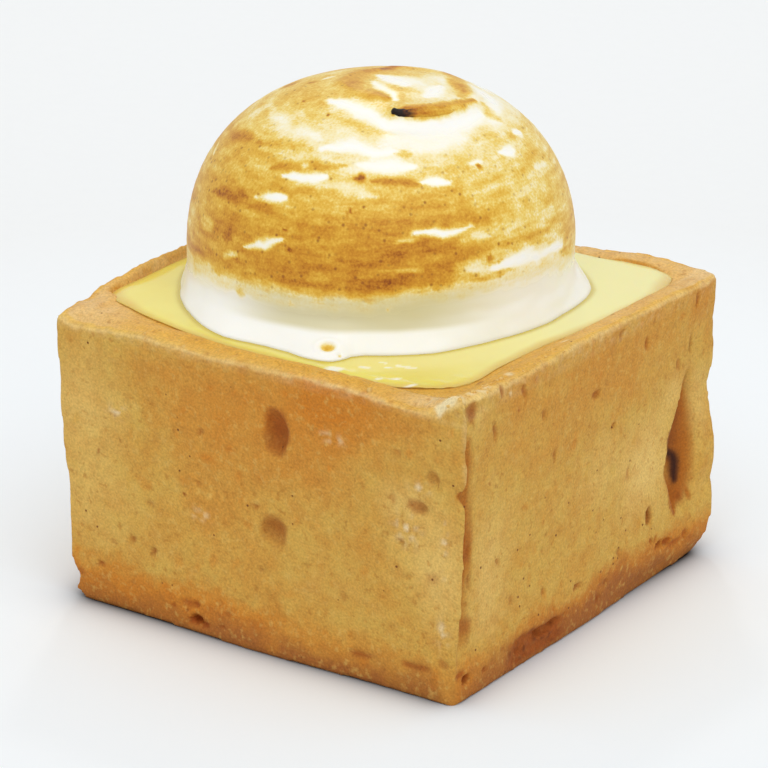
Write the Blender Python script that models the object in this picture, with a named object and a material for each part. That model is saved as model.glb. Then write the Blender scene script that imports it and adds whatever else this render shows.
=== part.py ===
"""Lemon meringue tart: a square shortcrust case filled with lemon curd, under a torched dome of
meringue. The case is lined by hand inside a square baking ring, so its walls are flat but its rim,
corners and joins aren't even. Units are metres, +Z is up, and the front is the -Y side."""

from math import atan2, cos, degrees, hypot, pi, radians, sin

import bmesh
import bpy
from mathutils import Vector, noise

MM = 0.001

# Driving sizes of the case
CASE_SIDE = 60 * MM  # inside width of the baking ring
CASE_HEIGHT = 38.4 * MM
WALL = 3.2 * MM  # pastry thickness at the rim
FLOOR = 4 * MM
GAP = 0.3 * MM  # between pieces that touch
WAIST = 29.2 * MM  # half width of the lower half, which shrank in the oven
WAIST_HEIGHT = 17 * MM
EDGE_ROUND = 0.5 * MM
SHELF_DROP = 0.45 * MM  # how far the rim's inner edge lies under the curd's level
CELL = 2.6 * MM  # spacing of the mesh on the walls

# Rim height round the case: place counted in half sides from the front left corner, then height
RIM = (
    (0.00, 38.2), (0.07, 37.4), (0.45, 38.2), (0.75, 37.7), (1.45, 38.2), (1.88, 37.2), (2.00, 39.5),
    (2.07, 39.1), (2.40, 38.7), (2.85, 39.3), (3.30, 38.9), (4.00, 38.5), (4.35, 39.1), (4.70, 38.1),
    (5.50, 38.5), (6.30, 39.2), (7.30, 40.3), (7.51, 40.3), (7.53, 39.7), (7.80, 39.8), (7.82, 38.6),
    (7.93, 38.8), (8.00, 38.2),
)

# The front wall's strip of pastry runs past the right front corner to a thin edge, and the right
# side's strip meets it behind in a shallow groove
LIP_WIDTH = 1.1 * MM
LIP_REACH = ((0, 0.0), (6, 0.3), (10, 1.0), (17, 1.4), (26, 1.6), (27.5, 1.1), (29, 1.5), (38, 1.5))
LIP_RISE = 0.7 * MM  # how far the strip's cut end stands above the rim
GROOVE_WIDTH = 3.4 * MM
GROOVE_DEPTH = 0.5 * MM

# How far two corner edges lean out at a height
FRONT_LEFT_LEAN = (
    (0, -2.4), (0.8, -0.4), (2.8, -1.1), (4, 0.1), (10, 0.2), (17, 0.2), (19, 0.8), (24, 0.6), (30, 0.2), (38, 0.1),
)
BACK_RIGHT_LEAN = (
    (0, -0.9), (1.7, 0.1), (4.6, 0.7), (7.9, 0.8), (15, 0.5), (20, 0.3), (23.3, -0.3), (25, 0.2), (29, 0.3),
    (33, -0.3), (38, -0.6),
)
CORNER_REACH = 7 * MM  # how far from its edge a corner's lean is felt
BASE_SPREAD = 0.8 * MM  # the front wall's lowest band swells out by this
BASE_TUCK = 0.8 * MM  # and the right wall's, towards the back, is drawn in

# The open fold low on the right side: its outline in Y and Z, and its depth at the two ends
FOLD = (
    (23.6, 28.1), (21.8, 23.2), (19.6, 19.0), (18.4, 14.6), (20.4, 10.4), (21.8, 7.6),
    (24.0, 7.0), (26.0, 10.5), (27.1, 16.0), (26.2, 22.2),
)
FOLD_DEEP = 2.9 * MM
FOLD_SHALLOW = 0.5 * MM

# Air holes in the walls: place along the side, height, width, height of the hole, depth
FRONT_HOLES = (
    (3.5, 29.8, 3.4, 6.0, 0.9), (2.4, 16.2, 4.0, 4.0, 0.9), (24.6, 24.6, 2.4, 2.0, 0.7),
    (26.3, 28.8, 1.6, 2.4, 0.6), (-9.0, 1.9, 2.6, 1.2, 0.9),
)
RIGHT_HOLES = (
    (15.1, 9.7, 1.4, 2.4, 0.9), (-9.0, 2.9, 7.0, 1.1, 0.8), (19.0, 4.6, 4.2, 1.3, 0.9), (-26.4, 2.6, 1.6, 1.3, 0.8),
)

# Curd: the cavity that holds it, its corner radii and its level
CAVITY_LEFT = -27.2 * MM
CAVITY_RIGHT = 26.3 * MM
CAVITY_FRONT = -27.1 * MM
CAVITY_BACK = 27.2 * MM
CAVITY_TAPER = 2 * MM  # the walls are thicker by this at the floor
CORNER_RADII = {(-1, -1): 9 * MM, (1, -1): 9.5 * MM, (1, 1): 6 * MM, (-1, 1): 7 * MM}
CORNER_STEPS = 6
CURD_LEVEL = 38.5 * MM
CURD_TILT = -0.012  # rise for each metre towards +X
CURD_MENISCUS = 0.3 * MM

# Meringue: a half sphere from a silicone mould, flattened a little on top, with a soft flared foot
DOME_CENTRE = Vector((-2.74, 1.57)) * MM
DOME_RADIUS = 24.5 * MM
DOME_EQUATOR = 43.7 * MM  # height where it's widest
DOME_RISE = 21.8 * MM
DOME_POWER = 2.27  # 2 is a true ellipse, and more is squarer
FOOT_CENTRE = Vector((-2.55, 0.75)) * MM
FOOT_RADIUS = 25.6 * MM
FOOT_HEIGHT = 3 * MM  # from the curd to where the foot's roll runs into the dome
FOOT_MIDDLE = 0.7 * MM  # height of the roll's widest place
DOME_TURNS = 64
DOME_RINGS = 20
FOOT_RINGS = 6

# The foot isn't a true circle: swellings at a turn in degrees, with their half width and reach
SWELLINGS = ((-68, 16, 2.6), (-15, 26, -1.1), (30, 28, 1.2), (-148, 34, -0.9), (120, 50, 0.4))

# The pulled tip on top: a ridge that grows along an arc and ends in a raised beak
SWIRL_CENTRE = Vector((-2.3, 2.9)) * MM
SWIRL_RADIUS = 11.4 * MM
SWIRL_START = radians(36)
SWIRL_END = radians(-55)
SWIRL_STEPS = 12
RIDGE_SIZE = ((0, 0.3), (0.35, 0.9), (0.8, 1.2), (0.92, 0.8), (1, 0.15))  # radius along its length
RIDGE_LIFT = ((0, -0.5), (0.6, -0.4), (0.85, 0.0), (1, 0.45))  # height over the dome


def blend(low, high, value):
    """0 below low, 1 above high, and a smooth step between."""
    t = min(max((value - low) / (high - low), 0.0), 1.0)
    return t * t * (3 - 2 * t)


def bump(start, middle, end, value):
    """1 at the middle, falling smoothly to 0 at start and end."""
    return blend(start, middle, value) * blend(end, middle, value)


def along(table, place):
    """The value of a short table of (place, value) pairs, in millimetres, at a place between two."""
    for (start, first), (end, last) in zip(table, table[1:]):
        if place <= end:
            t = min(max((place - start) / (end - start), 0.0), 1.0)
            return (first + (last - first) * t) * MM
    return table[-1][1] * MM


def round_the_case(x, y):
    """The place round the case, in half sides from the front left corner, counted over the front."""
    across = max(abs(x), abs(y), 1e-9)
    if -y >= abs(x):
        return 1 + x / across
    if x >= abs(y):
        return 3 + y / across
    if y >= abs(x):
        return 5 - x / across
    return 7 - y / across


def curd_height(x):
    return CURD_LEVEL + CURD_TILT * x


def new_object(name, bm, collection, material=None):
    bmesh.ops.recalc_face_normals(bm, faces=bm.faces)
    mesh = bpy.data.meshes.new(name)
    bm.to_mesh(mesh)
    bm.free()
    made = bpy.data.objects.new(name, mesh)
    collection.objects.link(made)
    if material:
        mesh.materials.append(material)
    return made


def new_collection(name, hidden=False):
    made = bpy.data.collections.new(name)
    bpy.context.scene.collection.children.link(made)
    made.hide_render = hidden
    return made


def new_material(name, colour, roughness):
    made = bpy.data.materials.new(name)
    made.use_nodes = True
    shader = made.node_tree.nodes["Principled BSDF"]
    shader.inputs["Base Color"].default_value = (*colour, 1)
    shader.inputs["Roughness"].default_value = roughness
    return made


def box(low, high):
    """A cube primitive stretched between two corners."""
    bm = bmesh.new()
    bmesh.ops.create_cube(bm, size=1)
    size = Vector(high) - Vector(low)
    bmesh.ops.scale(bm, vec=size, verts=bm.verts)
    bmesh.ops.translate(bm, vec=(Vector(low) + Vector(high)) / 2, verts=bm.verts)
    return bm


def slice_across(bm, axis, places):
    """Cuts a loop of edges round the block at each place along an axis."""
    normal = Vector((0, 0, 0))
    normal[axis] = 1
    for place in places:
        geometry = bm.verts[:] + bm.edges[:] + bm.faces[:]
        bmesh.ops.bisect_plane(bm, geom=geometry, plane_co=normal * place, plane_no=normal)


def even_places(low, high, spacing):
    count = max(round((high - low) / spacing), 1)
    return [low + (high - low) * i / count for i in range(count + 1)]


def shape_case(co):
    """Moves a point of the plain block to its place on the case."""
    half = CASE_SIDE / 2
    x, y, z = co
    place = round_the_case(x, y)
    inward = half - max(abs(x), abs(y))
    upper = blend(WAIST_HEIGHT, CASE_HEIGHT, z)

    # The sides narrow below the rim, and the two leaning corners follow their tables.
    narrow = (WAIST + (half - WAIST) * upper) / half
    moved = Vector((x * narrow, y * narrow, z))
    level = z / MM
    front_left = blend(CORNER_REACH, 0, hypot(x + half, y + half))
    back_right = blend(CORNER_REACH, 0, hypot(x - half, y - half))
    moved.x -= along(FRONT_LEFT_LEAN, level) * front_left
    lean = along(BACK_RIGHT_LEAN, level) * back_right
    moved.x += lean
    moved.y += lean

    # The base sheet swells out at the foot of the front wall, and is drawn in on the right.
    swell = bump(-0.8 * half, 0, 0.8 * half, x) * blend(half / 2, half, -y)
    tuck = bump(0, 0.6 * half, half, y) * blend(half / 2, half, x)
    moved.y -= BASE_SPREAD * swell * blend(6 * MM, 1 * MM, z)
    moved.x -= BASE_TUCK * tuck * blend(4 * MM, 0.5 * MM, z)

    # The front strip's thin edge runs past the corner, and the right side dips behind it.
    past_edge = y + half
    right_side = blend(half - 3 * MM, half, x)
    strip = right_side * blend(LIP_WIDTH, 0, past_edge)
    groove = right_side * blend(LIP_WIDTH / 2, LIP_WIDTH, past_edge) * blend(GROOVE_WIDTH, LIP_WIDTH, past_edge)
    moved.x += along(LIP_REACH, level) * strip
    moved.x -= GROOVE_DEPTH * groove * blend(2 * MM, 8 * MM, z)

    # The top's outer edge follows the rim's heights, and its inner part lies level with the curd.
    rim = along(RIM, place) + LIP_RISE * right_side * blend(3 * MM, 0, past_edge)
    shelf = curd_height(x) - SHELF_DROP
    top = rim + (shelf - rim) * blend(0.35 * WALL, 1.3 * WALL, inward)
    moved.z = z * (1 + (top / CASE_HEIGHT - 1) * blend(0.3, 1, z / CASE_HEIGHT))
    moved.z -= EDGE_ROUND * blend(EDGE_ROUND, 0, inward) * blend(CASE_HEIGHT - 2 * MM, CASE_HEIGHT, z)

    # A slow unevenness from pressing the pastry in by hand, none on the flat base.
    wave = noise.noise_vector(co / (14 * MM)) * (0.25 * MM)
    moved.x += wave.x * blend(0, 6 * MM, z)
    moved.y += wave.y * blend(0, 6 * MM, z)
    return moved


def make_case_block():
    half = CASE_SIDE / 2
    bm = box((-half, -half, 0), (half, half, CASE_HEIGHT))
    inner = half - EDGE_ROUND
    across = [-inner] + even_places(-inner + CELL, inner - CELL, CELL) + [inner]
    seam_lines = [-half + LIP_WIDTH, -half + LIP_WIDTH + 0.7 * MM]
    up = even_places(0, CASE_HEIGHT - 1.2 * MM, CELL)[1:] + [1.1 * MM, CASE_HEIGHT - EDGE_ROUND]
    slice_across(bm, 0, across)
    slice_across(bm, 1, across + seam_lines)
    slice_across(bm, 2, up)
    underside = [face for face in bm.faces if face.calc_center_median().z < 1e-6]
    bmesh.ops.dissolve_faces(bm, faces=underside, use_verts=True)
    for vert in bm.verts:
        vert.co = shape_case(vert.co)
    bmesh.ops.triangulate(bm, faces=bm.faces)
    return bm


def cavity_block(clearance, top):
    """The filled space of the case: a box with four rounded corners, narrower at the floor."""
    low = Vector((CAVITY_LEFT + clearance, CAVITY_FRONT + clearance, FLOOR + clearance))
    high = Vector((CAVITY_RIGHT - clearance, CAVITY_BACK - clearance, top))
    bm = box(low, high)
    middle = (low + high) / 2
    uprights = [edge for edge in bm.edges if abs(edge.verts[0].co.z - edge.verts[1].co.z) > FLOOR]
    corners = []
    for edge in uprights:
        foot = edge.verts[0].co
        corners.append(((1 if foot.x > middle.x else -1, 1 if foot.y > middle.y else -1), edge))
    for side, edge in corners:
        bmesh.ops.bevel(
            bm, geom=[edge], offset=CORNER_RADII[side] - clearance, segments=CORNER_STEPS,
            profile=0.5, affect="EDGES", material=-1,
        )
    for vert in bm.verts:
        below = (CURD_LEVEL - vert.co.z) / (CURD_LEVEL - FLOOR)
        vert.co.xy *= 1 - CAVITY_TAPER / CAVITY_BACK * below
    return bm


def make_hole(axis, along_side, height, width, tall, depth):
    """A cutter for one air hole: a flattened ball whose centre sits on the wall's surface."""
    bm = bmesh.new()
    bmesh.ops.create_icosphere(bm, subdivisions=2, radius=1)
    surface = WAIST + (CASE_SIDE / 2 - WAIST) * blend(WAIST_HEIGHT, CASE_HEIGHT, height * MM)
    if axis == 0:
        size = Vector((depth, width / 2, tall / 2)) * MM
        centre = Vector((surface, along_side * MM, height * MM))
    else:
        size = Vector((width / 2, depth, tall / 2)) * MM
        centre = Vector((along_side * MM, -surface, height * MM))
    bmesh.ops.scale(bm, vec=size, verts=bm.verts)
    bmesh.ops.translate(bm, vec=centre, verts=bm.verts)
    return bm


def push_in(bm, face, move):
    """Extrudes a face and gives back the new face, each point moved by move(point)."""
    made = bmesh.ops.extrude_discrete_faces(bm, faces=[face])["faces"][0]
    for vert in made.verts:
        vert.co += move(vert.co)
    return made


def make_fold():
    """A cutter for the open fold: its outline pushed into the wall, deepest at the front end."""
    bm = bmesh.new()
    outside = CASE_SIDE / 2 + 3 * MM
    ring = [bm.verts.new((outside, y * MM, z * MM)) for y, z in FOLD]
    start = min(y for y, z in FOLD) * MM
    end = max(y for y, z in FOLD) * MM
    middle = Vector((0, (start + end) / 2, sum(z for y, z in FOLD) / len(FOLD) * MM))

    def inside(co):
        depth = FOLD_DEEP + (FOLD_SHALLOW - FOLD_DEEP) * (co.y - start) / (end - start)
        return Vector((-depth, (middle.y - co.y) * 0.25 - 0.4 * MM, (middle.z - co.z) * 0.2))

    surface = push_in(bm, bm.faces.new(ring), lambda co: Vector((WAIST + 0.2 * MM - outside, 0, 0)))
    push_in(bm, surface, inside)
    bmesh.ops.holes_fill(bm, edges=bm.edges)
    bmesh.ops.triangulate(bm, faces=bm.faces)
    return bm


def combine(target, tool, operation):
    tool.hide_render = True
    tool.display_type = "WIRE"
    modifier = target.modifiers.new(tool.name, "BOOLEAN")
    modifier.operation = operation
    modifier.solver = "EXACT"
    modifier.object = tool


def make_crust(parts, cutters, material):
    crust = new_object("crust", make_case_block(), parts, material)
    shapes = {"cavity": cavity_block(0, CASE_HEIGHT + 6 * MM), "fold": make_fold()}
    for i, hole in enumerate(FRONT_HOLES):
        shapes[f"front_hole_{i + 1}"] = make_hole(1, *hole)
    for i, hole in enumerate(RIGHT_HOLES):
        shapes[f"right_hole_{i + 1}"] = make_hole(0, *hole)
    for name, bm in shapes.items():
        combine(crust, new_object(name, bm, cutters), "DIFFERENCE")
    return crust


def make_curd(parts, material):
    bm = cavity_block(GAP, CURD_LEVEL)
    bm.normal_update()
    top = [face for face in bm.faces if face.normal.z > 0.9]
    bmesh.ops.inset_region(bm, faces=top, thickness=0.8 * MM, depth=0)
    bmesh.ops.inset_region(bm, faces=top, thickness=1.2 * MM, depth=0)
    inner = {vert for face in top for vert in face.verts}
    for vert in bm.verts:
        if vert.co.z > CASE_HEIGHT / 2:
            edge = 0 if vert in inner else CURD_MENISCUS
            vert.co.z = curd_height(vert.co.x) - edge
    return new_object("lemon_curd", bm, parts, material)


def dome_height(radius):
    """Height of the dome's surface at a radius from its centre."""
    share = min(radius / DOME_RADIUS, 1.0) ** DOME_POWER
    return DOME_EQUATOR + DOME_RISE * (1 - share) ** (1 / DOME_POWER)


def dome_profile():
    """Radius and height from the top of the dome down to its foot and in along its underside."""
    points = []
    for i in range(DOME_RINGS + 1):
        radius = DOME_RADIUS * sin(pi / 2 * i / DOME_RINGS) ** (2 / DOME_POWER)
        points.append((radius, dome_height(radius)))
    foot = CURD_LEVEL + GAP
    reach = FOOT_RADIUS - DOME_RADIUS
    for i in range(FOOT_RINGS + 1):
        above = FOOT_HEIGHT + (FOOT_MIDDLE - FOOT_HEIGHT) * i / FOOT_RINGS
        points.append((DOME_RADIUS + reach * blend(FOOT_HEIGHT, FOOT_MIDDLE, above), foot + above))
    points.append((FOOT_RADIUS - 0.15 * MM, foot + 0.25 * MM))
    points.append((FOOT_RADIUS - 0.6 * MM, foot))
    points.append((FOOT_RADIUS * 0.6, foot))
    points.append((0.0, foot))
    return points


def foot_reach(turn):
    """How far the foot swells out or in at a turn round the dome."""
    reach = 0.12 * MM * sin(11 * turn + 2)
    for middle, half_width, size in SWELLINGS:
        away = abs((degrees(turn) - middle + 180) % 360 - 180)
        reach += size * MM * blend(half_width, 0, away)
    return reach


def shape_meringue(co):
    """Moves a point of the turned dome to its place: off centre, and with an uneven foot."""
    radius = co.xy.length
    foot = blend(CURD_LEVEL + 5 * MM, CURD_LEVEL + FOOT_MIDDLE, co.z)
    centre = DOME_CENTRE.lerp(FOOT_CENTRE, foot)
    grown = 1 + foot_reach(atan2(co.y, co.x)) * foot / max(radius, DOME_RADIUS)
    moved = Vector((centre.x + co.x * grown, centre.y + co.y * grown, co.z))

    # On its far side the foot is pressed against the case, and its underside follows the curd.
    if foot > 0.5:
        moved.x = max(moved.x, CAVITY_LEFT + GAP)
    moved.z += CURD_TILT * moved.x * foot
    return moved


def make_ridge(cutters):
    """The pulled ridge as a tapered curve, made a mesh so that the dome can take it in."""
    curve = bpy.data.curves.new("ridge", "CURVE")
    curve.dimensions = "3D"
    curve.bevel_depth = MM
    curve.bevel_resolution = 2
    curve.use_fill_caps = True
    spline = curve.splines.new("POLY")
    spline.points.add(SWIRL_STEPS)
    for i, point in enumerate(spline.points):
        t = i / SWIRL_STEPS
        turn = SWIRL_START + (SWIRL_END - SWIRL_START) * t
        place = SWIRL_CENTRE + SWIRL_RADIUS * Vector((cos(turn), sin(turn)))
        height = dome_height((place - DOME_CENTRE).length) + along(RIDGE_LIFT, t)
        point.co = (place.x, place.y, height, 1)
        point.radius = along(RIDGE_SIZE, t) / MM
    drawn = bpy.data.objects.new("ridge_curve", curve)
    cutters.objects.link(drawn)
    graph = bpy.context.evaluated_depsgraph_get()
    bm = bmesh.new()
    bm.from_mesh(bpy.data.meshes.new_from_object(drawn.evaluated_get(graph)))
    bmesh.ops.remove_doubles(bm, verts=bm.verts, dist=0.01 * MM)
    bpy.data.objects.remove(drawn)
    return new_object("ridge", bm, cutters)


def make_meringue(parts, cutters, material):
    bm = bmesh.new()
    ring = [bm.verts.new((radius, 0, height)) for radius, height in dome_profile()]
    edges = [bm.edges.new(pair) for pair in zip(ring, ring[1:])]
    bmesh.ops.spin(
        bm, geom=ring + edges, cent=(0, 0, 0), axis=(0, 0, 1), angle=2 * pi, steps=DOME_TURNS, use_merge=True,
    )
    bmesh.ops.remove_doubles(bm, verts=bm.verts, dist=0.01 * MM)
    for vert in bm.verts:
        vert.co = shape_meringue(vert.co)
    made = new_object("meringue", bm, parts, material)
    made.data.shade_smooth()
    combine(made, make_ridge(cutters), "UNION")
    return made


def stand_on_origin(objects):
    """Moves the pieces together so that the origin is at the bottom centre of their bounding box."""
    bpy.context.view_layer.update()
    graph = bpy.context.evaluated_depsgraph_get()
    corners = []
    for item in objects:
        mesh = item.evaluated_get(graph).to_mesh()
        corners.extend(vert.co.copy() for vert in mesh.vertices)
    low = Vector([min(co[axis] for co in corners) for axis in range(3)])
    high = Vector([max(co[axis] for co in corners) for axis in range(3)])
    print("box centre before moving, mm:", [round(v / MM, 3) for v in (low + high) / 2], "low", low.z / MM)
    return Vector(((low.x + high.x) / 2, (low.y + high.y) / 2, low.z))


def main():
    for item in list(bpy.data.objects):
        bpy.data.objects.remove(item, do_unlink=True)
    parts = new_collection("lemon_meringue_tart")
    cutters = new_collection("cutters", hidden=True)
    shortcrust = new_material("shortcrust", (0.52, 0.27, 0.075), 0.75)
    curd = new_material("lemon curd", (0.83, 0.70, 0.22), 0.25)
    toasted = new_material("toasted meringue", (0.72, 0.47, 0.2), 0.6)
    crust = make_crust(parts, cutters, shortcrust)
    lemon_curd = make_curd(parts, curd)
    meringue = make_meringue(parts, cutters, toasted)
    shift = stand_on_origin((crust, lemon_curd, meringue))
    for item in list(parts.objects) + list(cutters.objects):
        item.location = -shift


main()
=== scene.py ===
# %% [markdown]
# # Lemon meringue tart
# A square shortcrust case, filled level with lemon curd, carries a dome of Italian meringue that was
# set in a silicone mould, turned out and torched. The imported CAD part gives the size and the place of
# each piece. This script keeps that frame and builds the looks round it: the crumb and the air holes
# of the pastry, the wet edge of the curd, and the strokes of the torch.

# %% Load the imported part
from math import cos, pi, radians, sin

import bmesh
import bpy
import numpy as np
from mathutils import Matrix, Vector, kdtree, noise


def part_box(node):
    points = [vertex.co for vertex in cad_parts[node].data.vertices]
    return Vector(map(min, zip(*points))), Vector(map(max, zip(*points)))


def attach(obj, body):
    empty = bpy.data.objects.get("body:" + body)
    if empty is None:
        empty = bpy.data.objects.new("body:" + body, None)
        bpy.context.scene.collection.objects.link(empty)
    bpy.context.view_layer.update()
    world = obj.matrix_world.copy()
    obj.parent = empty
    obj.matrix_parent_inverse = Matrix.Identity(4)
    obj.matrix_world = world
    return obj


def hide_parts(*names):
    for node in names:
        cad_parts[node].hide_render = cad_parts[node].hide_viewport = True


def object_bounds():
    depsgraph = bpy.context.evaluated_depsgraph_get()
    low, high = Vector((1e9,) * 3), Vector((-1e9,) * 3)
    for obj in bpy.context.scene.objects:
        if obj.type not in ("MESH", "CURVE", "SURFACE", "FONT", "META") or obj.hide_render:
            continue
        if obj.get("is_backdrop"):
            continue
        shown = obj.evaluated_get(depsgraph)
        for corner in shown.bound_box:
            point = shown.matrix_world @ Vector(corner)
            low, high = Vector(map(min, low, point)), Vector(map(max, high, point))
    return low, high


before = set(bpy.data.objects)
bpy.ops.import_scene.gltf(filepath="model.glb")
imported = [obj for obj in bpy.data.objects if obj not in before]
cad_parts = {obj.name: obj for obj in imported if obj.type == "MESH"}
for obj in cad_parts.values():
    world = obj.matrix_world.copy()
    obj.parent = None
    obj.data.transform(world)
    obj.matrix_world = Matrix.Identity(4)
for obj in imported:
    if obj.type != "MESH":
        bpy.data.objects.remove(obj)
cad_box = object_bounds()
MM = 0.001
print("CAD box, mm:", [[round(value / MM, 2) for value in corner] for corner in cad_box])

# %% [markdown]
# Every place below is counted in millimetres from the middle of the baking ring, which is how a
# pastry cook would give it. The curd was poured a little off that middle, so its box in the frame
# leads back to the ring. With that, the looks follow the CAD wherever it stands.

# %% Places
CURD_OFF_RING = (-0.45, 0.05)  # middle of the curd's box from the middle of the ring, mm
curd_low, curd_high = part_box("lemon_curd")
ring_middle = (curd_low + curd_high) / 2 - Vector(CURD_OFF_RING).to_3d() * MM
ring_middle.z = 0
HALF = 30.0  # half the ring's inside width, mm
rng = np.random.default_rng(20)  # gives the holes, strokes and crumbs that lie at random


def at(x, y, z):
    return ring_middle + Vector((x, y, z)) * MM


print("ring middle, mm:", [round(value / MM, 3) for value in ring_middle])

# %% [markdown]
# ## Camera, light and floor
# The tart is seen from close to the height of its rim, turned so that one corner points at the
# camera. A long lens from half a metre away keeps the sides nearly parallel. A pale sheet, an even
# white room and a wide bright ceiling give the soft light, and a small softbox behind gives the wet
# glints.

# %% Camera
VIEW_TURN = radians(35.0)
VIEW_RISE = radians(20.8)
VIEW_DISTANCE = 500 * MM
LENS = 184.45  # for a sensor 36 mm wide
AIM = at(-1.01, -0.30, 25.88)

backwards = Vector((sin(VIEW_TURN) * cos(VIEW_RISE), -cos(VIEW_TURN) * cos(VIEW_RISE), sin(VIEW_RISE)))
camera = bpy.data.objects.new("camera", bpy.data.cameras.new("camera"))
bpy.context.scene.collection.objects.link(camera)
camera.data.lens = LENS
camera.data.sensor_width = 36
camera.data.clip_start = 10 * MM
camera.location = AIM + backwards * VIEW_DISTANCE
camera.rotation_mode = "QUATERNION"
camera.rotation_quaternion = (-backwards).to_track_quat("-Z", "Y")
bpy.context.scene.camera = camera
bpy.context.scene.view_settings.view_transform = "Standard"
print("camera from the ring's middle, mm:", [round(value / MM, 1) for value in camera.location - at(0, 0, 0)])

# %% Light
ROOM_LIGHT = 0.74
CEILING_LIGHT = 0.98
CEILING_SPREAD = radians(70)  # how wide it stands in the sky, which softens its shadows
CEILING_FROM = Vector((170, -160, 420))
SOFTBOX_POWER = 0.12  # watts
SOFTBOX_SIZE = 40 * MM
SOFTBOX_FROM = Vector((-190, 270, 350))

room = bpy.data.worlds.new("room")
bpy.context.scene.world = room
room.use_nodes = True
room.node_tree.nodes["Background"].inputs["Color"].default_value = (0.985, 1.0, 0.995, 1)
room.node_tree.nodes["Background"].inputs["Strength"].default_value = ROOM_LIGHT
for name, kind, power, place in (
    ("ceiling", "SUN", CEILING_LIGHT, CEILING_FROM), ("softbox", "AREA", SOFTBOX_POWER, SOFTBOX_FROM)
):
    lamp = bpy.data.objects.new(name, bpy.data.lights.new(name, kind))
    bpy.context.scene.collection.objects.link(lamp)
    lamp.data.energy = power
    lamp.location = at(*place)
    lamp.rotation_mode = "QUATERNION"
    lamp.rotation_quaternion = (at(0, 0, 30) - lamp.location).to_track_quat("-Z", "Y")
bpy.data.lights["ceiling"].angle = CEILING_SPREAD
bpy.data.lights["softbox"].size = SOFTBOX_SIZE
print("lights:", [lamp.name for lamp in bpy.data.lights])

# %% [markdown]
# Three small helpers serve every material and mesh: one turns a colour as a screen shows it to the linear
# values that a shader reads, one adds a node with its settings and links, and one makes an object from a
# bmesh that rides on the part's only body.


# %% Helpers for colours, nodes and objects
def linear(colour):
    """A hex colour as a screen shows it, as linear red, green, blue and alpha."""
    shares = [int(colour[i : i + 2], 16) / 255 for i in (1, 3, 5)]
    return (*[s / 12.92 if s <= 0.04045 else ((s + 0.055) / 1.055) ** 2.4 for s in shares], 1)


def add(tree, kind, links=(), stops=(), **settings):
    """Adds a node and gives back the output in use.

    links pairs a socket with the output that feeds it, or with a value or a hex colour."""
    node = tree.nodes.new(kind)
    for name, value in settings.items():
        setattr(node, name, value)
    for i, (place, colour) in enumerate(stops):
        stop = node.color_ramp.elements[i] if i < 2 else node.color_ramp.elements.new(place)
        stop.position = place
        stop.color = linear(colour)
    for socket, value in dict(links).items():
        if isinstance(value, bpy.types.NodeSocket):
            tree.links.new(value, node.inputs[socket])
        else:
            node.inputs[socket].default_value = linear(value) if isinstance(value, str) else value
    return next((output for output in node.outputs if output.enabled), None)


def new_material(name):
    made = bpy.data.materials.new(name)
    made.use_nodes = True
    made.node_tree.nodes.clear()
    return made, made.node_tree


def new_piece(name, bm, material):
    """An object from a bmesh, riding on the body, with its finish."""
    mesh = bpy.data.meshes.new(name)
    bm.to_mesh(mesh)
    bm.free()
    mesh.shade_smooth()
    made = bpy.data.objects.new(name, mesh)
    bpy.context.scene.collection.objects.link(made)
    mesh.materials.append(material)
    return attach(made, "root")


def apply_modifiers(piece):
    graph = bpy.context.evaluated_depsgraph_get()
    mesh = bpy.data.meshes.new_from_object(piece.evaluated_get(graph))
    piece.modifiers.clear()
    piece.data = mesh
    mesh.shade_smooth()


# %% [markdown]
# Relief is worked out for all points of a mesh at once. These helpers read the points in
# millimetres from the ring's middle, write them back, and keep a painted value on each point, which
# the material reads as an attribute.


# %% Helpers for points and paint
def built_points(mesh):
    """The points as they were built, which for a new mesh is still in millimetres."""
    co = np.empty(len(mesh.vertices) * 3)
    mesh.vertices.foreach_get("co", co)
    return co.reshape(-1, 3)


def points_of(mesh):
    """The points of a mesh that stands in its place, in millimetres from the ring's middle."""
    return (built_points(mesh) - np.array(ring_middle)) / MM


def move_to(mesh, points):
    mesh.vertices.foreach_set("co", (points * MM + np.array(ring_middle)).ravel())
    mesh.update()


def normals_of(mesh):
    values = np.empty(len(mesh.vertices) * 3)
    mesh.vertex_normals.foreach_get("vector", values)
    return values.reshape(-1, 3)


def paint(mesh, name, values):
    layer = mesh.attributes.new(name, "FLOAT", "POINT")
    layer.data.foreach_set("value", np.clip(values, 0, 1).astype(np.float32))


def step(low, high, values):
    """0 below low, 1 above high and smooth between. low may be the larger one."""
    t = np.clip((values - low) / (high - low), 0, 1)
    return t * t * (3 - 2 * t)


def bump_at(middle, width, values):
    """1 at the middle and falling off smoothly over the width."""
    return np.exp(-(((values - middle) / width) ** 2))


def lumps(points, size, seed=0):
    """Smooth noise from -1 to 1 at each point, with lumps of this size in mm along X, Y and Z."""
    scaled = points / np.asarray(size, float) + 7.31 * seed
    return np.array([noise.noise(Vector(place)) for place in scaled])


def near_line(points, line):
    """Distance from a bent line, and the share of its length at the nearest place, for each point."""
    line = np.array(line, float)
    lengths = np.linalg.norm(np.diff(line, axis=0), axis=1)
    total = max(lengths.sum(), 1e-6)
    nearest, share = np.full(len(points), np.inf), np.zeros(len(points))
    gone = 0.0
    for start, end, length in zip(line, line[1:], lengths):
        t = np.clip((points - start) @ (end - start) / max(length, 1e-6) ** 2, 0, 1)
        away = np.linalg.norm(points - start - t[:, None] * (end - start), axis=1)
        share = np.where(away < nearest, (gone + t * length) / total, share)
        nearest = np.minimum(nearest, away)
        gone += length
    return nearest, share


def triangles_in(piece):
    return sum(len(face.vertices) - 2 for face in piece.data.polygons)
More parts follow.
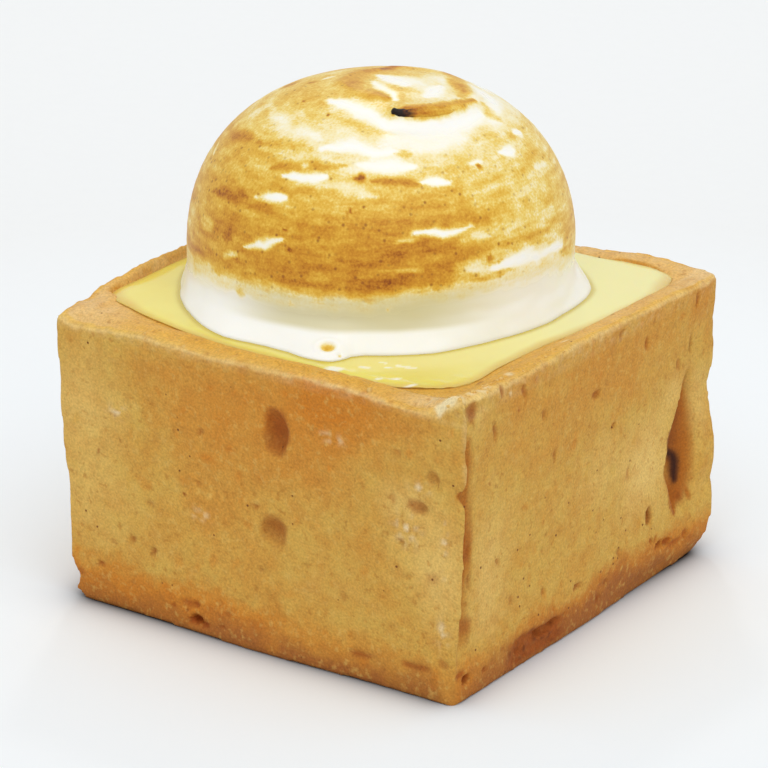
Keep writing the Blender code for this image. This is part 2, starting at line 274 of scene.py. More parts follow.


# %% [markdown]
# The floor is a sheet of matt paper. Round the tart it is painted lighter and a little bluish, which is
# painted light that evens out the shade and the warm light off the crust. Hardly any light gets in under
# the worn bottom edge, and a little more under the right wall, so a soft dark line of painted shadow
# lies on the paper there, which fades with distance from a square with round corners.

# %% Floor
FIBRE = 2.5  # between the paper's fibres, mm
BLUISH_TO = 50  # from the middle, mm
WHITE_FROM = 150
SHADE_SQUARE = (25.6, 26.2)  # half width and half depth of the square, mm
SHADE_ROUND = 3.0  # how far out of it the line stays as dark
SHADE_FADE = 1.9
LIT_FOOT = (29.4, -8.0)  # where most light gets in

floor_paper, tree = new_material("matt white paper")
place = add(tree, "ShaderNodeTexCoord").node.outputs["Object"]
fibre = add(tree, "ShaderNodeTexNoise", {"Vector": place, "Scale": 1 / (FIBRE * MM), "Detail": 3.0})
tone = add(tree, "ShaderNodeMix", {0: fibre, 6: "#ECEDEE", 7: "#EEEFF0"}, data_type="RGBA")
out = add(tree, "ShaderNodeVectorMath", {0: place}, operation="LENGTH")
# Painted light: the paper is lighter and bluish round the tart.
bluish = add(tree, "ShaderNodeMapRange", {0: out, 1: BLUISH_TO * MM, 2: WHITE_FROM * MM, 3: 1.0, 4: 0.0})
tone = add(tree, "ShaderNodeMix", {0: bluish, 6: tone, 7: "#F5FAFF"}, data_type="RGBA")
# Painted shadow: a dark line along the tart's foot, weaker where light gets in under the wall.
centre = (ring_middle.x, ring_middle.y, 0)
aside = add(tree, "ShaderNodeVectorMath", {0: place, 1: centre}, operation="SUBTRACT")
side = add(tree, "ShaderNodeVectorMath", {0: aside}, operation="ABSOLUTE")
square = (SHADE_SQUARE[0] * MM, SHADE_SQUARE[1] * MM, 1)
side = add(tree, "ShaderNodeVectorMath", {0: side, 1: square}, operation="SUBTRACT")
side = add(tree, "ShaderNodeVectorMath", {0: side, 1: (0, 0, 0)}, operation="MAXIMUM")
side = add(tree, "ShaderNodeVectorMath", {0: side}, operation="LENGTH")
dim = add(tree, "ShaderNodeMath", {0: side, 1: SHADE_ROUND * MM}, operation="SUBTRACT")
dim = add(tree, "ShaderNodeMath", {0: dim, 1: -1 / (SHADE_FADE * MM)}, operation="MULTIPLY")
dim = add(tree, "ShaderNodeMath", {0: dim, 1: 0.0}, operation="EXPONENT")
spot = (LIT_FOOT[0] * MM, LIT_FOOT[1] * MM, 0)
strength = add(tree, "ShaderNodeVectorMath", {0: aside, 1: spot}, operation="DISTANCE")
strength = add(tree, "ShaderNodeMapRange", {0: strength, 1: 12 * MM, 2: 32 * MM, 3: 0.5, 4: 0.85})
dim = add(tree, "ShaderNodeMath", {0: dim, 1: strength}, operation="MULTIPLY", use_clamp=True)
tone = add(tree, "ShaderNodeMix", {0: dim, 6: tone, 7: "#2E2420"}, data_type="RGBA")
paper = add(
    tree, "ShaderNodeBsdfPrincipled", {"Base Color": tone, "Roughness": 0.9, "Specular IOR Level": 0.1}
)
add(tree, "ShaderNodeOutputMaterial", {0: paper})

bm = bmesh.new()
bmesh.ops.create_grid(bm, x_segments=1, y_segments=1, size=4)
mesh = bpy.data.meshes.new("floor")
bm.to_mesh(mesh)
bm.free()
floor = bpy.data.objects.new("floor", mesh)
mesh.materials.append(floor_paper)
bpy.context.scene.collection.objects.link(floor)
floor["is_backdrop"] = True
print("nodes in the paper:", len(tree.nodes))

# %% [markdown]
# ## Outline and level of the curd
# Two pieces need the line where the curd ends: the pastry has to reach under it, and the curd has to
# stop on it. It runs close inside the walls and cuts the corners, where the pastry is thickest.

# %% Edge and level of the curd
CURD_EDGE = (  # where the curd ends on the pastry, mm, once round
    (-28.2, -21.2), (-22.6, -23.9), (-16.6, -25.5), (-10.2, -26.8), (-3.7, -27.3), (4.0, -27.5),
    (10.1, -27.8), (17.4, -26.9), (22.2, -24.5), (25.0, -21.6), (25.3, -13.2), (25.6, -4.6), (26.6, 2.7),
    (27.2, 11.1), (27.0, 21.0), (24.0, 27.6), (19.3, 28.3), (14.1, 27.4), (4.0, 27.6), (-8.0, 27.8),
    (-19.0, 27.5), (-26.4, 25.6), (-28.2, 17.0), (-28.7, 6.0), (-29.2, -6.0), (-28.8, -15.0),
)
EDGE_POINTS = 480
CURD_LEVEL = 38.5
CURD_TILT = -0.012


def closed_curve(corners, count):
    """Points spread evenly on a smooth closed line through the corners."""
    curve = bpy.data.curves.new("edge", "CURVE")
    curve.dimensions = "3D"
    curve.resolution_u = 24
    line = curve.splines.new("BEZIER")
    line.use_cyclic_u = True
    line.bezier_points.add(len(corners) - 1)
    for point, (x, y) in zip(line.bezier_points, corners):
        point.co = (x, y, 0)
        point.handle_left_type = point.handle_right_type = "AUTO"
    drawn = bpy.data.objects.new("edge", curve)
    path = np.array([vert.co[:2] for vert in drawn.to_mesh().vertices])
    drawn.to_mesh_clear()
    bpy.data.objects.remove(drawn)
    path = np.vstack([path, path[:1]])
    gone = np.concatenate([[0], np.cumsum(np.hypot(*np.diff(path, axis=0).T))])
    even = np.linspace(0, gone[-1], count, endpoint=False)
    return np.stack([np.interp(even, gone, path[:, 0]), np.interp(even, gone, path[:, 1])], axis=1)


curd_edge = closed_curve(CURD_EDGE, EDGE_POINTS)
edge_tree = kdtree.KDTree(EDGE_POINTS)
for i, (x, y) in enumerate(curd_edge):
    edge_tree.insert((x, y, 0), i)
edge_tree.balance()


def from_curd_edge(points):
    """Distance from the curd's outline in mm, seen from above."""
    return np.array([edge_tree.find((x, y, 0))[2] for x, y, _ in points])


print("curd edge, mm:", curd_edge.min(0).round(1), curd_edge.max(0).round(1))

# %% [markdown]
# ## Shortcrust
# Shortcrust is flour, sugar and butter rubbed together, so its baked face is dry and sandy, with air
# holes where butter melted out. The colour tells how the heat reached it: deep orange at the rim,
# golden green in the middle of the walls, and red brown at the base that sat on the tray. The fine
# sand is far below a millimetre, so it's a bump in the material, and everything larger is geometry.

# %% Shortcrust material
SAND = 0.30  # width of a grain, mm
CRUMB = 0.9
PATCH = 1.8
MOTTLE = 5.0
BUBBLE_SPACING = 1.7  # between the dark dots where sugar burnt


def coats(tree, colour, tints):
    """Lays coats over a colour, each as strong as the value of its name that is painted on the mesh."""
    for name, tint in tints.items():
        share = add(tree, "ShaderNodeAttribute", attribute_name=name).node.outputs["Fac"]
        colour = add(tree, "ShaderNodeMix", {0: share, 6: colour, 7: tint}, data_type="RGBA")
    return colour


shortcrust, tree = new_material("baked shortcrust")
place = add(tree, "ShaderNodeTexCoord").node.outputs["Object"]
sand = add(tree, "ShaderNodeTexNoise", {"Vector": place, "Scale": 1 / (SAND * MM), "Detail": 2.0})
crumb = add(tree, "ShaderNodeTexNoise", {"Vector": place, "Scale": 1 / (CRUMB * MM), "Detail": 3.0})
patch = add(tree, "ShaderNodeTexNoise", {"Vector": place, "Scale": 1 / (PATCH * MM), "Detail": 4.0})
mottle = add(tree, "ShaderNodeTexNoise", {"Vector": place, "Scale": 1 / (MOTTLE * MM), "Detail": 4.0})
share = add(tree, "ShaderNodeMapRange", {0: mottle, 1: 0.38, 2: 0.62})
colour = add(tree, "ShaderNodeMix", {0: share, 6: "#CFA54C", 7: "#CB9841"}, data_type="RGBA")

# Coats of bake, each painted on the mesh: where it stayed pale and where it blushed, the scorch of
# the base, and the thin cooked curd on the flat rim.
colour = coats(tree, colour, {
    "pale": "#E1BB6A", "blush": "#CA7B20", "scorch": "#A3622A", "glaze": "#E2AA38", "film": "#E6C691",
})
share = add(tree, "ShaderNodeMapRange", {0: patch, 1: 0.50, 2: 0.72, 4: 0.36})
colour = add(tree, "ShaderNodeMix", {0: share, 6: colour, 7: "#B87528"}, data_type="RGBA")
share = add(tree, "ShaderNodeMapRange", {0: crumb, 1: 0.55, 2: 0.72, 4: 0.36})
colour = add(tree, "ShaderNodeMix", {0: share, 6: colour, 7: "#E0BC66"}, data_type="RGBA")
share = add(tree, "ShaderNodeMapRange", {0: crumb, 1: 0.42, 2: 0.28, 4: 0.5})
colour = add(tree, "ShaderNodeMix", {0: share, 6: colour, 7: "#AE7026"}, data_type="RGBA")

# Over the crumb lie the golden edge of the rim, partly bake and partly a painted highlight, the raw cut
# end with painted highlights along the edges and painted glints on the syrup, and dry flour. Then come
# the browned insides of the air holes, the joint and the torn base, and the painted shade behind the
# seam and in the fold, darkest in its hole and its crack.
colour = coats(tree, colour, {
    "gold": "#EFC158", "raw_and_highlight": "#F4E3B4", "flour": "#E8D4AC", "amber": "#A95C0C", "hollow": "#98480F",
    "dark": "#32120A",
})

# Burnt dots: one in eight cells of a Voronoi pattern gets one.
dots = add(tree, "ShaderNodeTexVoronoi", {"Vector": place, "Scale": 1 / (BUBBLE_SPACING * MM)})
near = add(tree, "ShaderNodeMapRange", {0: dots, 1: 0.12, 2: 0.06})
chosen = add(tree, "ShaderNodeSeparateColor", {0: dots.node.outputs["Color"]})
chosen = add(tree, "ShaderNodeMath", {0: chosen, 1: 0.88}, operation="GREATER_THAN")
share = add(tree, "ShaderNodeMath", {0: near, 1: chosen}, operation="MULTIPLY")
colour = add(tree, "ShaderNodeMix", {0: share, 6: colour, 7: "#74401A"}, data_type="RGBA")

# The grain darkens and lightens the colour a little, and raises the surface.
shade = add(tree, "ShaderNodeMapRange", {0: sand, 1: 0.25, 2: 0.75, 3: 0.82, 4: 1.17})
colour = add(tree, "ShaderNodeMix", {0: 1.0, 6: colour, 7: shade}, data_type="RGBA", blend_type="MULTIPLY")
height = add(tree, "ShaderNodeMath", {0: sand, 1: crumb}, operation="ADD")
bump = add(tree, "ShaderNodeBump", {"Height": height, "Strength": 0.7, "Distance": 0.14 * MM})
glaze = add(tree, "ShaderNodeAttribute", attribute_name="glaze").node.outputs["Fac"]
syrup = add(tree, "ShaderNodeAttribute", attribute_name="syrup").node.outputs["Fac"]
rough = add(tree, "ShaderNodeMapRange", {0: glaze, 3: 0.78, 4: 0.48})
rough = add(tree, "ShaderNodeMix", {0: syrup, 2: rough, 3: 0.12})
shader = add(
    tree, "ShaderNodeBsdfPrincipled",
    {"Base Color": colour, "Roughness": rough, "Normal": bump, "Specular IOR Level": 0.3, "IOR": 1.45},
)
add(tree, "ShaderNodeOutputMaterial", {0: shader})
print("nodes in the shortcrust:", len(tree.nodes))

# %% [markdown]
# The crust starts as a merged copy of the CAD solid. A ledge is laid round the cavity first, so that
# the pastry reaches under the curd's edge everywhere. A voxel remesh then melts both into one skin of
# even cells of about a third of a millimetre, fine enough for an air hole, and the faces that the
# curd and the floor hide are collapsed again, because nobody sees them.

# %% Ledge under the curd's edge
SHELF_DROP = 0.45  # the pastry's inner edge lies this far under the curd
LEDGE_UNDER = 1.3  # how far the ledge runs in under the curd
LEDGE_THICK = 2.6
LEDGE_SINK = 0.03  # how far it lies below the rim of the solid, so that the two melt into one
CAVITY = np.array(((-27.2, -27.1), (26.3, 27.2)))  # low and high corner of the CAD's cavity
CAVITY_ROUND = 8.0  # radius of its corners
INTO_WALL = 0.5  # how far past the cavity the ledge runs


def grow_ring(bm, ring):
    """Extrudes a ring of edges once. Gives back the new points and the new ring."""
    made = bmesh.ops.extrude_edge_only(bm, edges=ring)["geom"]
    new = {item for item in made if isinstance(item, bmesh.types.BMVert)}
    return new, [item for item in made if isinstance(item, bmesh.types.BMEdge) and set(item.verts) <= new]


def past_cavity(x, y):
    """How far a place lies outside the cavity's outline, in mm."""
    over = np.maximum(np.maximum(CAVITY[0] - (x, y), (x, y) - CAVITY[1]) + CAVITY_ROUND, 0)
    return np.hypot(*over) - CAVITY_ROUND


bm = bmesh.new()
bm.from_mesh(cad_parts["crust"].data)
bmesh.ops.remove_doubles(bm, verts=bm.verts, dist=0.001 * MM)
crust = new_piece("pastry_case", bm, shortcrust)

ledge = bmesh.new()
bmesh.ops.create_circle(ledge, segments=EDGE_POINTS, radius=1)
ledge.verts.ensure_lookup_table()
middle = np.array(CURD_OFF_RING)
for vert, (x, y) in zip(list(ledge.verts), curd_edge):
    arm = np.array((x, y)) - middle
    x, y = middle + arm * (1 - LEDGE_UNDER / np.hypot(*arm))
    vert.co = at(x, y, CURD_LEVEL + CURD_TILT * x - SHELF_DROP)
outer_ring, _ = grow_ring(ledge, list(ledge.edges))
for vert in outer_ring:
    # The ledge's outer line runs along the cavity's own. A ray from above finds the rim's height there.
    arm = np.array((vert.co - ring_middle).xy) / MM - middle
    for reach in np.arange(0.8, 1.6, 0.005):
        x, y = middle + arm * reach
        if past_cavity(x, y) > INTO_WALL:
            break
    _, spot, _, _ = crust.ray_cast(at(x, y, 60), (0, 0, -1))
    vert.co = at(x, y, 0)
    vert.co.z = spot.z - LEDGE_SINK * MM
made = bmesh.ops.extrude_face_region(ledge, geom=list(ledge.faces), use_keep_orig=True)["geom"]
for vert in (item for item in made if isinstance(item, bmesh.types.BMVert)):
    vert.co.z -= LEDGE_THICK * MM
bmesh.ops.recalc_face_normals(ledge, faces=ledge.faces)
heights = [vert.co.z / MM for vert in ledge.verts]
print("ledge from", round(min(heights), 2), "to", round(max(heights), 2), "mm")
ledge_mesh = bpy.data.meshes.new("ledge")
ledge.to_mesh(ledge_mesh)
ledge.free()
both = bmesh.new()
both.from_mesh(crust.data)
both.from_mesh(ledge_mesh)
both.to_mesh(crust.data)
both.free()
bpy.data.meshes.remove(ledge_mesh)

# %% Even cells
CELL = 0.36  # mm
HIDDEN_HALF = 27.4  # nobody sees the walls' inside and the underside within this, mm
HIDDEN_FROM, HIDDEN_TO = 1.0, 36.6  # heights between which the inside is hidden
UNDERSIDE = 0.3
UNSEEN_KEPT = 0.03  # share of the unseen faces that stays

even = crust.modifiers.new("even cells", "REMESH")
even.mode = "VOXEL"
even.voxel_size = CELL * MM
apply_modifiers(crust)

where = points_of(crust.data)
across = np.maximum(abs(where[:, 0]), abs(where[:, 1]))
unseen = (across < HIDDEN_HALF) & (where[:, 2] > HIDDEN_FROM) & (where[:, 2] < HIDDEN_TO)
unseen |= (across < HIDDEN_HALF + 0.1) & (where[:, 2] < UNDERSIDE)
group = crust.vertex_groups.new(name="unseen")
group.add([int(i) for i in np.flatnonzero(unseen)], 1.0, "REPLACE")
fewer = crust.modifiers.new("fewer unseen faces", "DECIMATE")
fewer.ratio = 1 - (1 - UNSEEN_KEPT) * float(unseen.mean())
fewer.vertex_group = "unseen"
apply_modifiers(crust)
crust.vertex_groups.clear()
print("crust triangles:", triangles_in(crust))

# %% [markdown]
# The CAD's facets are smoothed away. Plain smoothing also shrinks corners, so each round is followed
# by one with a slightly larger negative factor, which pushes them back out. The thin seam at the
# front right corner and the open fold low on the right side stay as sharp as they are.

# %% Round the facets of the walls
SEAM_KEPT = 3.2  # mm round the front right corner
FOLD_BOX = ((17.5, 28.0), (6.0, 29.0))  # its reach along Y and Z

where = points_of(crust.data)
across = np.maximum(abs(where[:, 0]), abs(where[:, 1]))
by_seam = np.hypot(where[:, 0] - HALF, where[:, 1] + HALF) < SEAM_KEPT
(fold_start, fold_end), (fold_foot, fold_top) = FOLD_BOX
in_fold = (where[:, 0] > 25) & (where[:, 1] > fold_start) & (where[:, 1] < fold_end)
in_fold &= (where[:, 2] > fold_foot) & (where[:, 2] < fold_top)
soft = (across > 26) & ~by_seam & ~in_fold & (where[:, 2] > 0.6)
bm = bmesh.new()
bm.from_mesh(crust.data)
bm.verts.ensure_lookup_table()
softened = [bm.verts[int(i)] for i in np.flatnonzero(soft)]
for factor in (0.5, -0.52) * 5:
    bmesh.ops.smooth_vert(
        bm, verts=softened, factor=factor, use_axis_x=True, use_axis_y=True, use_axis_z=True
    )
bm.to_mesh(crust.data)
bm.free()
print("points smoothed:", len(softened))

# %% [markdown]
# Air holes sit where they do on the real case. Each row names its wall, its place along the wall and
# its height, its width and how tall it is, how deep it goes and how dark it baked. A hole is a
# rounded dent, deepest in the middle, whose outline is bent by noise so that no two look alike. The
# two walls that face away get holes of the same kind at random.

# %% Air holes
FRONT_HOLES = (
    (3.6, 29.9, 4.4, 7.0, 0.30, 0.9), (3.4, 28.6, 2.8, 3.8, 0.2, 0.8), (2.6, 16.4, 4.6, 4.8, 0.28, 0.7),
    (1.8, 15.9, 2.0, 2.2, 0.2, 0.6), (23.7, 24.8, 2.7, 2.3, 0.2, 0.6), (26.3, 29.0, 1.9, 2.5, 0.2, 0.35),
    (25.9, 16.0, 2.2, 1.8, 0.2, 0.5), (21.4, 31.3, 1.3, 1.3, 0.3, 0.4), (20.5, 25.0, 1.3, 1.4, 0.2, 0.3),
    (21.4, 19.8, 1.0, 1.1, 0.3, 0.5), (-16.5, 15.4, 1.5, 1.4, 0.3, 0.45), (-19.5, 9.9, 1.3, 0.9, 0.35, 0.65),
    (-16.2, 9.2, 1.4, 1.4, 0.4, 0.75), (-22.4, 9.1, 1.2, 1.1, 0.2, 0.35), (0.7, 10.9, 1.2, 1.1, 0.3, 0.5),
    (7.0, 12.9, 1.1, 0.8, 0.3, 0.45), (12.9, 10.4, 1.2, 1.5, 0.2, 0.4), (-8.1, 27.1, 1.0, 1.3, 0.25, 0.6),
    (-8.8, 20.4, 0.8, 0.8, 0.2, 0.4), (-23.9, 13.8, 0.9, 0.7, 0.2, 0.35), (-18.8, 13.6, 0.8, 0.7, 0.2, 0.35),
    (-0.1, 19.3, 1.6, 0.8, 0.25, 0.55), (-9.5, 1.5, 1.7, 1.0, 0.5, 1.0), (-7.9, 1.5, 1.8, 1.1, 0.45, 0.9),
    (-24.5, 5.3, 1.5, 0.7, 0.35, 0.8), (-9.1, 3.8, 1.1, 1.0, 0.4, 0.85), (-10.9, 18.5, 0.6, 0.6, 0.2, 1.4),
    (-24.2, 20.9, 0.5, 0.7, 0.1, 0.9), (-5.0, 2.0, 0.8, 0.7, 0.3, 0.6), (-12.8, 2.6, 0.8, 0.7, 0.3, 0.7),
    (-10.8, 2.7, 0.7, 0.6, 0.3, 0.7), (27.6, 5.4, 1.4, 1.6, 0.2, 0.5),
)
RIGHT_HOLES = (
    (-26.7, 37.2, 1.9, 2.8, 0.30, 0.8), (-20.5, 38.0, 1.1, 1.6, 0.3, 0.7),
    (-15.5, 36.6, 1.1, 1.7, 0.3, 0.55), (-11.1, 32.2, 1.2, 1.7, 0.3, 0.5),
    (-21.8, 33.5, 1.2, 2.2, 0.35, 0.6), (-8.2, 25.7, 0.8, 2.0, 0.3, 0.6), (1.0, 30.9, 1.6, 1.4, 0.35, 0.65),
    (5.6, 25.2, 0.9, 0.9, 0.3, 0.45), (-16.7, 34.5, 0.5, 0.5, 0.1, 1.0), (-22.6, 27.1, 0.5, 0.5, 0.1, 0.8),
    (-12.9, 12.9, 0.5, 0.6, 0.1, 1.2), (-26.0, 15.2, 1.1, 2.6, 0.6, 1.2), (-19.9, 15.8, 1.2, 1.0, 0.4, 0.8),
    (-8.2, 14.3, 1.0, 2.2, 0.15, 0.35), (-2.0, 6.0, 2.0, 1.1, 0.4, 0.8), (-9.9, 8.2, 1.2, 1.2, 0.25, 0.5),
    (-16.9, 9.6, 1.0, 1.6, 0.2, 0.4), (7.8, 7.2, 1.2, 1.0, 0.2, 0.4), (-15.2, 2.2, 1.8, 1.0, 0.35, 0.9),
    (-10.3, 3.0, 1.6, 1.0, 0.45, 1.0), (-7.1, 3.2, 1.6, 0.8, 0.4, 1.1), (-5.0, 3.3, 0.9, 0.6, 0.3, 0.9),
    (3.1, 2.8, 0.9, 0.7, 0.3, 0.7), (4.9, 4.3, 0.9, 0.8, 0.3, 0.6), (-22.7, 2.5, 1.2, 0.7, 0.3, 0.9),
    (-26.6, 2.6, 2.0, 1.4, 0.5, 1.0), (8.0, 13.8, 0.9, 2.6, 0.15, 0.5), (9.7, 17.3, 0.8, 3.0, 0.15, 0.4),
    (15.1, 9.7, 1.7, 2.6, 0.45, 0.95), (18.2, 4.7, 2.6, 1.1, 0.4, 1.0), (20.4, 4.4, 1.8, 0.9, 0.35, 0.9),
    (24.2, 4.3, 1.0, 1.6, 0.25, 0.6), (12.7, 34.2, 1.2, 2.0, 0.35, 0.7), (6.1, 37.2, 1.1, 1.3, 0.3, 0.55),
    (21.1, 28.6, 1.2, 1.8, 0.3, 0.5), (23.9, 30.4, 0.7, 3.0, 0.2, 0.5), (23.9, 36.5, 0.7, 2.4, 0.3, 0.7),
    (-26.7, 22.5, 2.0, 10.0, 0.10, 0.2), (-26.2, 19.0, 1.4, 2.6, 0.25, 0.55),
    (-26.4, 9.8, 2.4, 2.6, 0.2, 0.55), (15.9, 6.2, 1.0, 1.2, 0.3, 0.7), (17.0, 5.9, 0.8, 1.4, 0.25, 0.5),
)
WALLS = {"front": (1, -1), "right": (0, 1), "back": (1, 1), "left": (0, -1)}  # axis, and its side
HOLE_WARP = 0.42  # how far noise bends their outlines, mm

where = points_of(crust.data)
facing = normals_of(crust.data)
outward = np.maximum(abs(where[:, 0]), abs(where[:, 1]))
warp = np.stack([lumps(where, 1.7, seed) + 0.5 * lumps(where, 0.8, seed + 50) for seed in (1, 2, 3)], axis=1)


def random_holes(count):
    """Rows like those above, for a wall that faces away."""
    return [
        (
            rng.uniform(-27, 27), 38 * rng.random() ** 1.4, 0.8 + rng.exponential(0.6),
            0.8 + rng.exponential(0.6), rng.uniform(0.15, 0.4), rng.uniform(0.4, 0.9),
        )
        for _ in range(count)
    ]


def press_holes(wall, holes, hollow):
    """Dents a wall and darkens the hollows. Gives back how far each point moves."""
    axis, side = WALLS[wall]
    on_wall = (where[:, axis] * side > 26.5) & (facing[:, axis] * side > -0.2) & (where[:, 2] > 0.2)
    move = np.zeros_like(where)
    bent = where + HOLE_WARP * warp
    for place, height, width, tall, depth, dark in holes:
        u = (bent[:, 1 - axis] - place) / (width / 2)
        v = (bent[:, 2] - height) / (tall / 2)
        inside = np.clip(1 - (u * u + v * v), 0, 1) * on_wall
        move[:, axis] -= side * depth * inside**0.75
        hollow[:] = np.maximum(hollow, dark * inside**0.5)
    return move


hollow = np.zeros(len(where))
dents = press_holes("front", FRONT_HOLES, hollow) + press_holes("right", RIGHT_HOLES, hollow)
dents += press_holes("left", random_holes(45), hollow) + press_holes("back", random_holes(45), hollow)
print("deepest hole, mm:", round(float(abs(dents).max()), 2))

# %% [markdown]
# Hand pressing leaves shallow lumps, and the rim crumbles where the ring was lifted off. Near the
# foot the walls were joined to the base sheet, and that joint shows as a broken line of small gaps.
# On the right side a stretch of it tore open and shows the coarse, dark inside.

# %% Lumps, crumbled rim and base joint
LUMP_HIGH = 0.10  # mm
CRUMBLE_HIGH = 0.15
JOINT_HEIGHT = 3.7
JOINT_DEEP = 0.22
TORN_FROM, TORN_TO = -19.0, -3.5  # along the right wall
SHELF_RISE = 0.33  # how far the flat rim rises towards the curd

x, y, z = where.T
medium = lumps(where, 3.2, 4)
fine = lumps(where, 1.1, 5)
outer = step(27.8, 28.8, outward) * step(0.3, 1.5, z)
pushed = (LUMP_HIGH * medium + 0.05 * fine) * outer
rim_edge = step(27.8, 28.8, outward) * step(36.2, 37.4, z)
rim_edge *= 1 - 0.6 * step(28, 29, y)
pushed += (CRUMBLE_HIGH * lumps(where, 0.9, 6) + LUMP_HIGH * medium) * rim_edge
joint = bump_at(JOINT_HEIGHT + 0.9 * lumps(where, 9, 7), 0.45, z)
joint *= step(0.05, 0.3, lumps(where, (2.6, 2.6, 6), 8))
pushed -= JOINT_DEEP * joint * outer
torn = step(27.5, 28.5, x) * step(TORN_FROM, TORN_FROM + 3.5, y) * step(TORN_TO, TORN_TO - 3, y)
torn *= step(4.4, 3.2, z + 0.9 * lumps(where, 2.2, 14)) * step(0.3, 0.9, z)
coarse = lumps(where, 0.8, 15)
pushed -= torn * (0.22 + 0.28 * coarse)
shelf = step(29.4, 28.4, outward) * step(26.2, 26.8, outward) * (facing[:, 2] > 0.5) * (z > 36)
pushed += 0.07 * lumps(where, 2.4, 9) * shelf
where = where + dents + facing * pushed[:, None]
where[:, 2] += SHELF_RISE * shelf * step(29.3, 27.8, outward)
print("lumps and gaps, mm:", round(float(pushed.min()), 2), "to", round(float(pushed.max()), 2))

# %% [markdown]
# Two edges differ from the rest. Along the left wall the rim stands up thin, with the curd right
# against it, so the pastry inside it is lowered below the curd. The bottom edge is broken and draws
# in over the floor, which leaves a thin dark line of shadow.

# %% Thin rim on the left and drawn-in foot
LEFT_RIM = (  # Y, and the inner edge's X, mm
    (-21, -28.5), (-15, -29.0), (-6, -29.35), (6, -28.9), (17, -28.4), (25, -27.4),
)
LOWERED_TO = 38.3  # mm, under the curd
FOOT_DRAWN_IN = 0.25

x, y, z = where.T
left_edge = np.interp(y, *zip(*LEFT_RIM))
lowered = step(left_edge, left_edge + 0.4, x) * (x < -25) * (z > LOWERED_TO)
where[:, 2] -= lowered * (z - LOWERED_TO) * step(-22.5, -20.5, y) * step(25, 22, y)
ragged_foot = step(27.5, 28.5, outward) * bump_at(0.36, 0.25, where[:, 2])
where[:, 2] -= ragged_foot * (0.16 - 0.20 * step(0.1, 0.5, lumps(where, 1.5, 18)))
drawn_in = 1 - FOOT_DRAWN_IN / HALF * step(28, 29, outward) * step(0.15, 0.05, where[:, 2])
where[:, :2] *= drawn_in[:, None]
print("foot drawn in by up to", FOOT_DRAWN_IN, "mm")

# %% [markdown]
# The crust's front strip was laid over the right one, and its cut edge stands up as a thin seam at
# the corner, with a nick where it tore. On the right side, low and far back, a flap of dough folded
# over and left a deep pocket, darkest right beside the flap.

# %% Seam and fold
NICK_HEIGHT = 27.6
FLAP_EDGE = (  # height, then where the flap ends and where the pocket ends along Y, mm
    (7.6, 21.3, 21.5), (8.5, 20.4, 23.2), (9.8, 19.8, 24.6), (11.4, 19.2, 25.3), (14.6, 18.0, 25.1),
    (17.2, 18.9, 25.6), (19.2, 19.0, 25.6), (20.8, 20.5, 25.5), (23.5, 21.8, 24.9), (25.4, 22.3, 24.2),
    (28.0, 23.1, 23.3),
)
POCKET_FLOOR = 26.7  # the pocket's flat floor, X in mm
POCKET_DEEP = 0.7  # how far the pocket is hollowed past it
LUMP = np.array((28.3, 23.7, 9.4))  # a crumb of dough at the pocket's foot
SLIT = ((23.9, 0.22), (30.3, 2.0))  # the crack above the fold: place and half width along Y, then up

x, y, z = where.T
lip = (y < -28.4) & (x > 28.6)
nick = bump_at(NICK_HEIGHT, 1.0, z) + 0.2 * lumps(where, (9, 9, 1.3), 10)
where[:, 0] -= (0.9 * nick + 0.2 * step(28, 26, z)) * lip * step(28.6, 30.2, x)

x, y, z = where.T
heights, flap, far_side = np.array(FLAP_EDGE).T
flap = np.interp(z, heights, flap)
pocket_width = np.maximum(np.interp(z, heights, far_side) - flap, 0.05)
across_pocket = (y - flap) / pocket_width
in_pocket = (x > 25.3) & (z > heights[0]) & (z < heights[-1])
in_pocket &= (across_pocket > -0.1) & (across_pocket < 1.15)
deepest = in_pocket * bump_at(14.0, 4.0, z) * bump_at(0.50, 0.32, across_pocket) * step(29.6, 28.8, x)
where[:, 0] = np.maximum(x - POCKET_DEEP * deepest, np.minimum(x, POCKET_FLOOR))
in_lump = bump_at(0, 1.2, np.linalg.norm(where - LUMP, axis=1))
where[:, 0] += 0.5 * in_lump
(slit_y, slit_wide), (slit_z, slit_tall) = SLIT
slit = step(30.1, 28.9, x) * (x > 27.5) * bump_at(slit_z, slit_tall, z)
slit *= bump_at(slit_y + 0.3 * lumps(where, 3, 16), slit_wide, y)
where[:, 0] -= 0.35 * slit * (facing[:, 0] > 0.3)
print("points in the pocket:", int(in_pocket.sum()))

# %% [markdown]
# The far right corner leans out a little, more at the rim and at the foot than between them. Then
# the whole skin is fitted to the CAD's own width and depth, and nothing stands below the floor.

# %% Lean of the far corner and fit to the CAD's box
LEAN = (  # height and how far the corner leans out along X and Y, mm
    (0.0, -0.45), (2.0, -0.15), (4.7, 0.0), (6.4, 0.0), (9.7, -0.1), (13.0, 0.35), (16.0, 0.35), (20.0, 0.0),
    (24.0, -0.25), (27.0, -0.3), (30.0, -0.4), (33.0, -0.15), (35.0, 0.1), (38.5, 0.35),
)
CORNER_ROUND = 4.4  # radius of the front right corner where it stands on the floor, mm
lean = np.interp(where[:, 2], *zip(*LEAN)) * step(14, 28, where[:, 0]) * step(14, 28, where[:, 1])
where[:, :2] += lean[:, None] * step(25, 28, outward)[:, None]
arm = where[:, :2] - (HALF - CORNER_ROUND, CORNER_ROUND - HALF)
beyond = np.hypot(*np.maximum(arm * (1, -1), 0).T) / CORNER_ROUND
pulled = (1 - 1 / np.maximum(beyond, 1)) * step(6, 1, where[:, 2]) * np.all(arm * (1, -1) > 0, axis=1)
where[:, :2] -= arm * pulled[:, None]

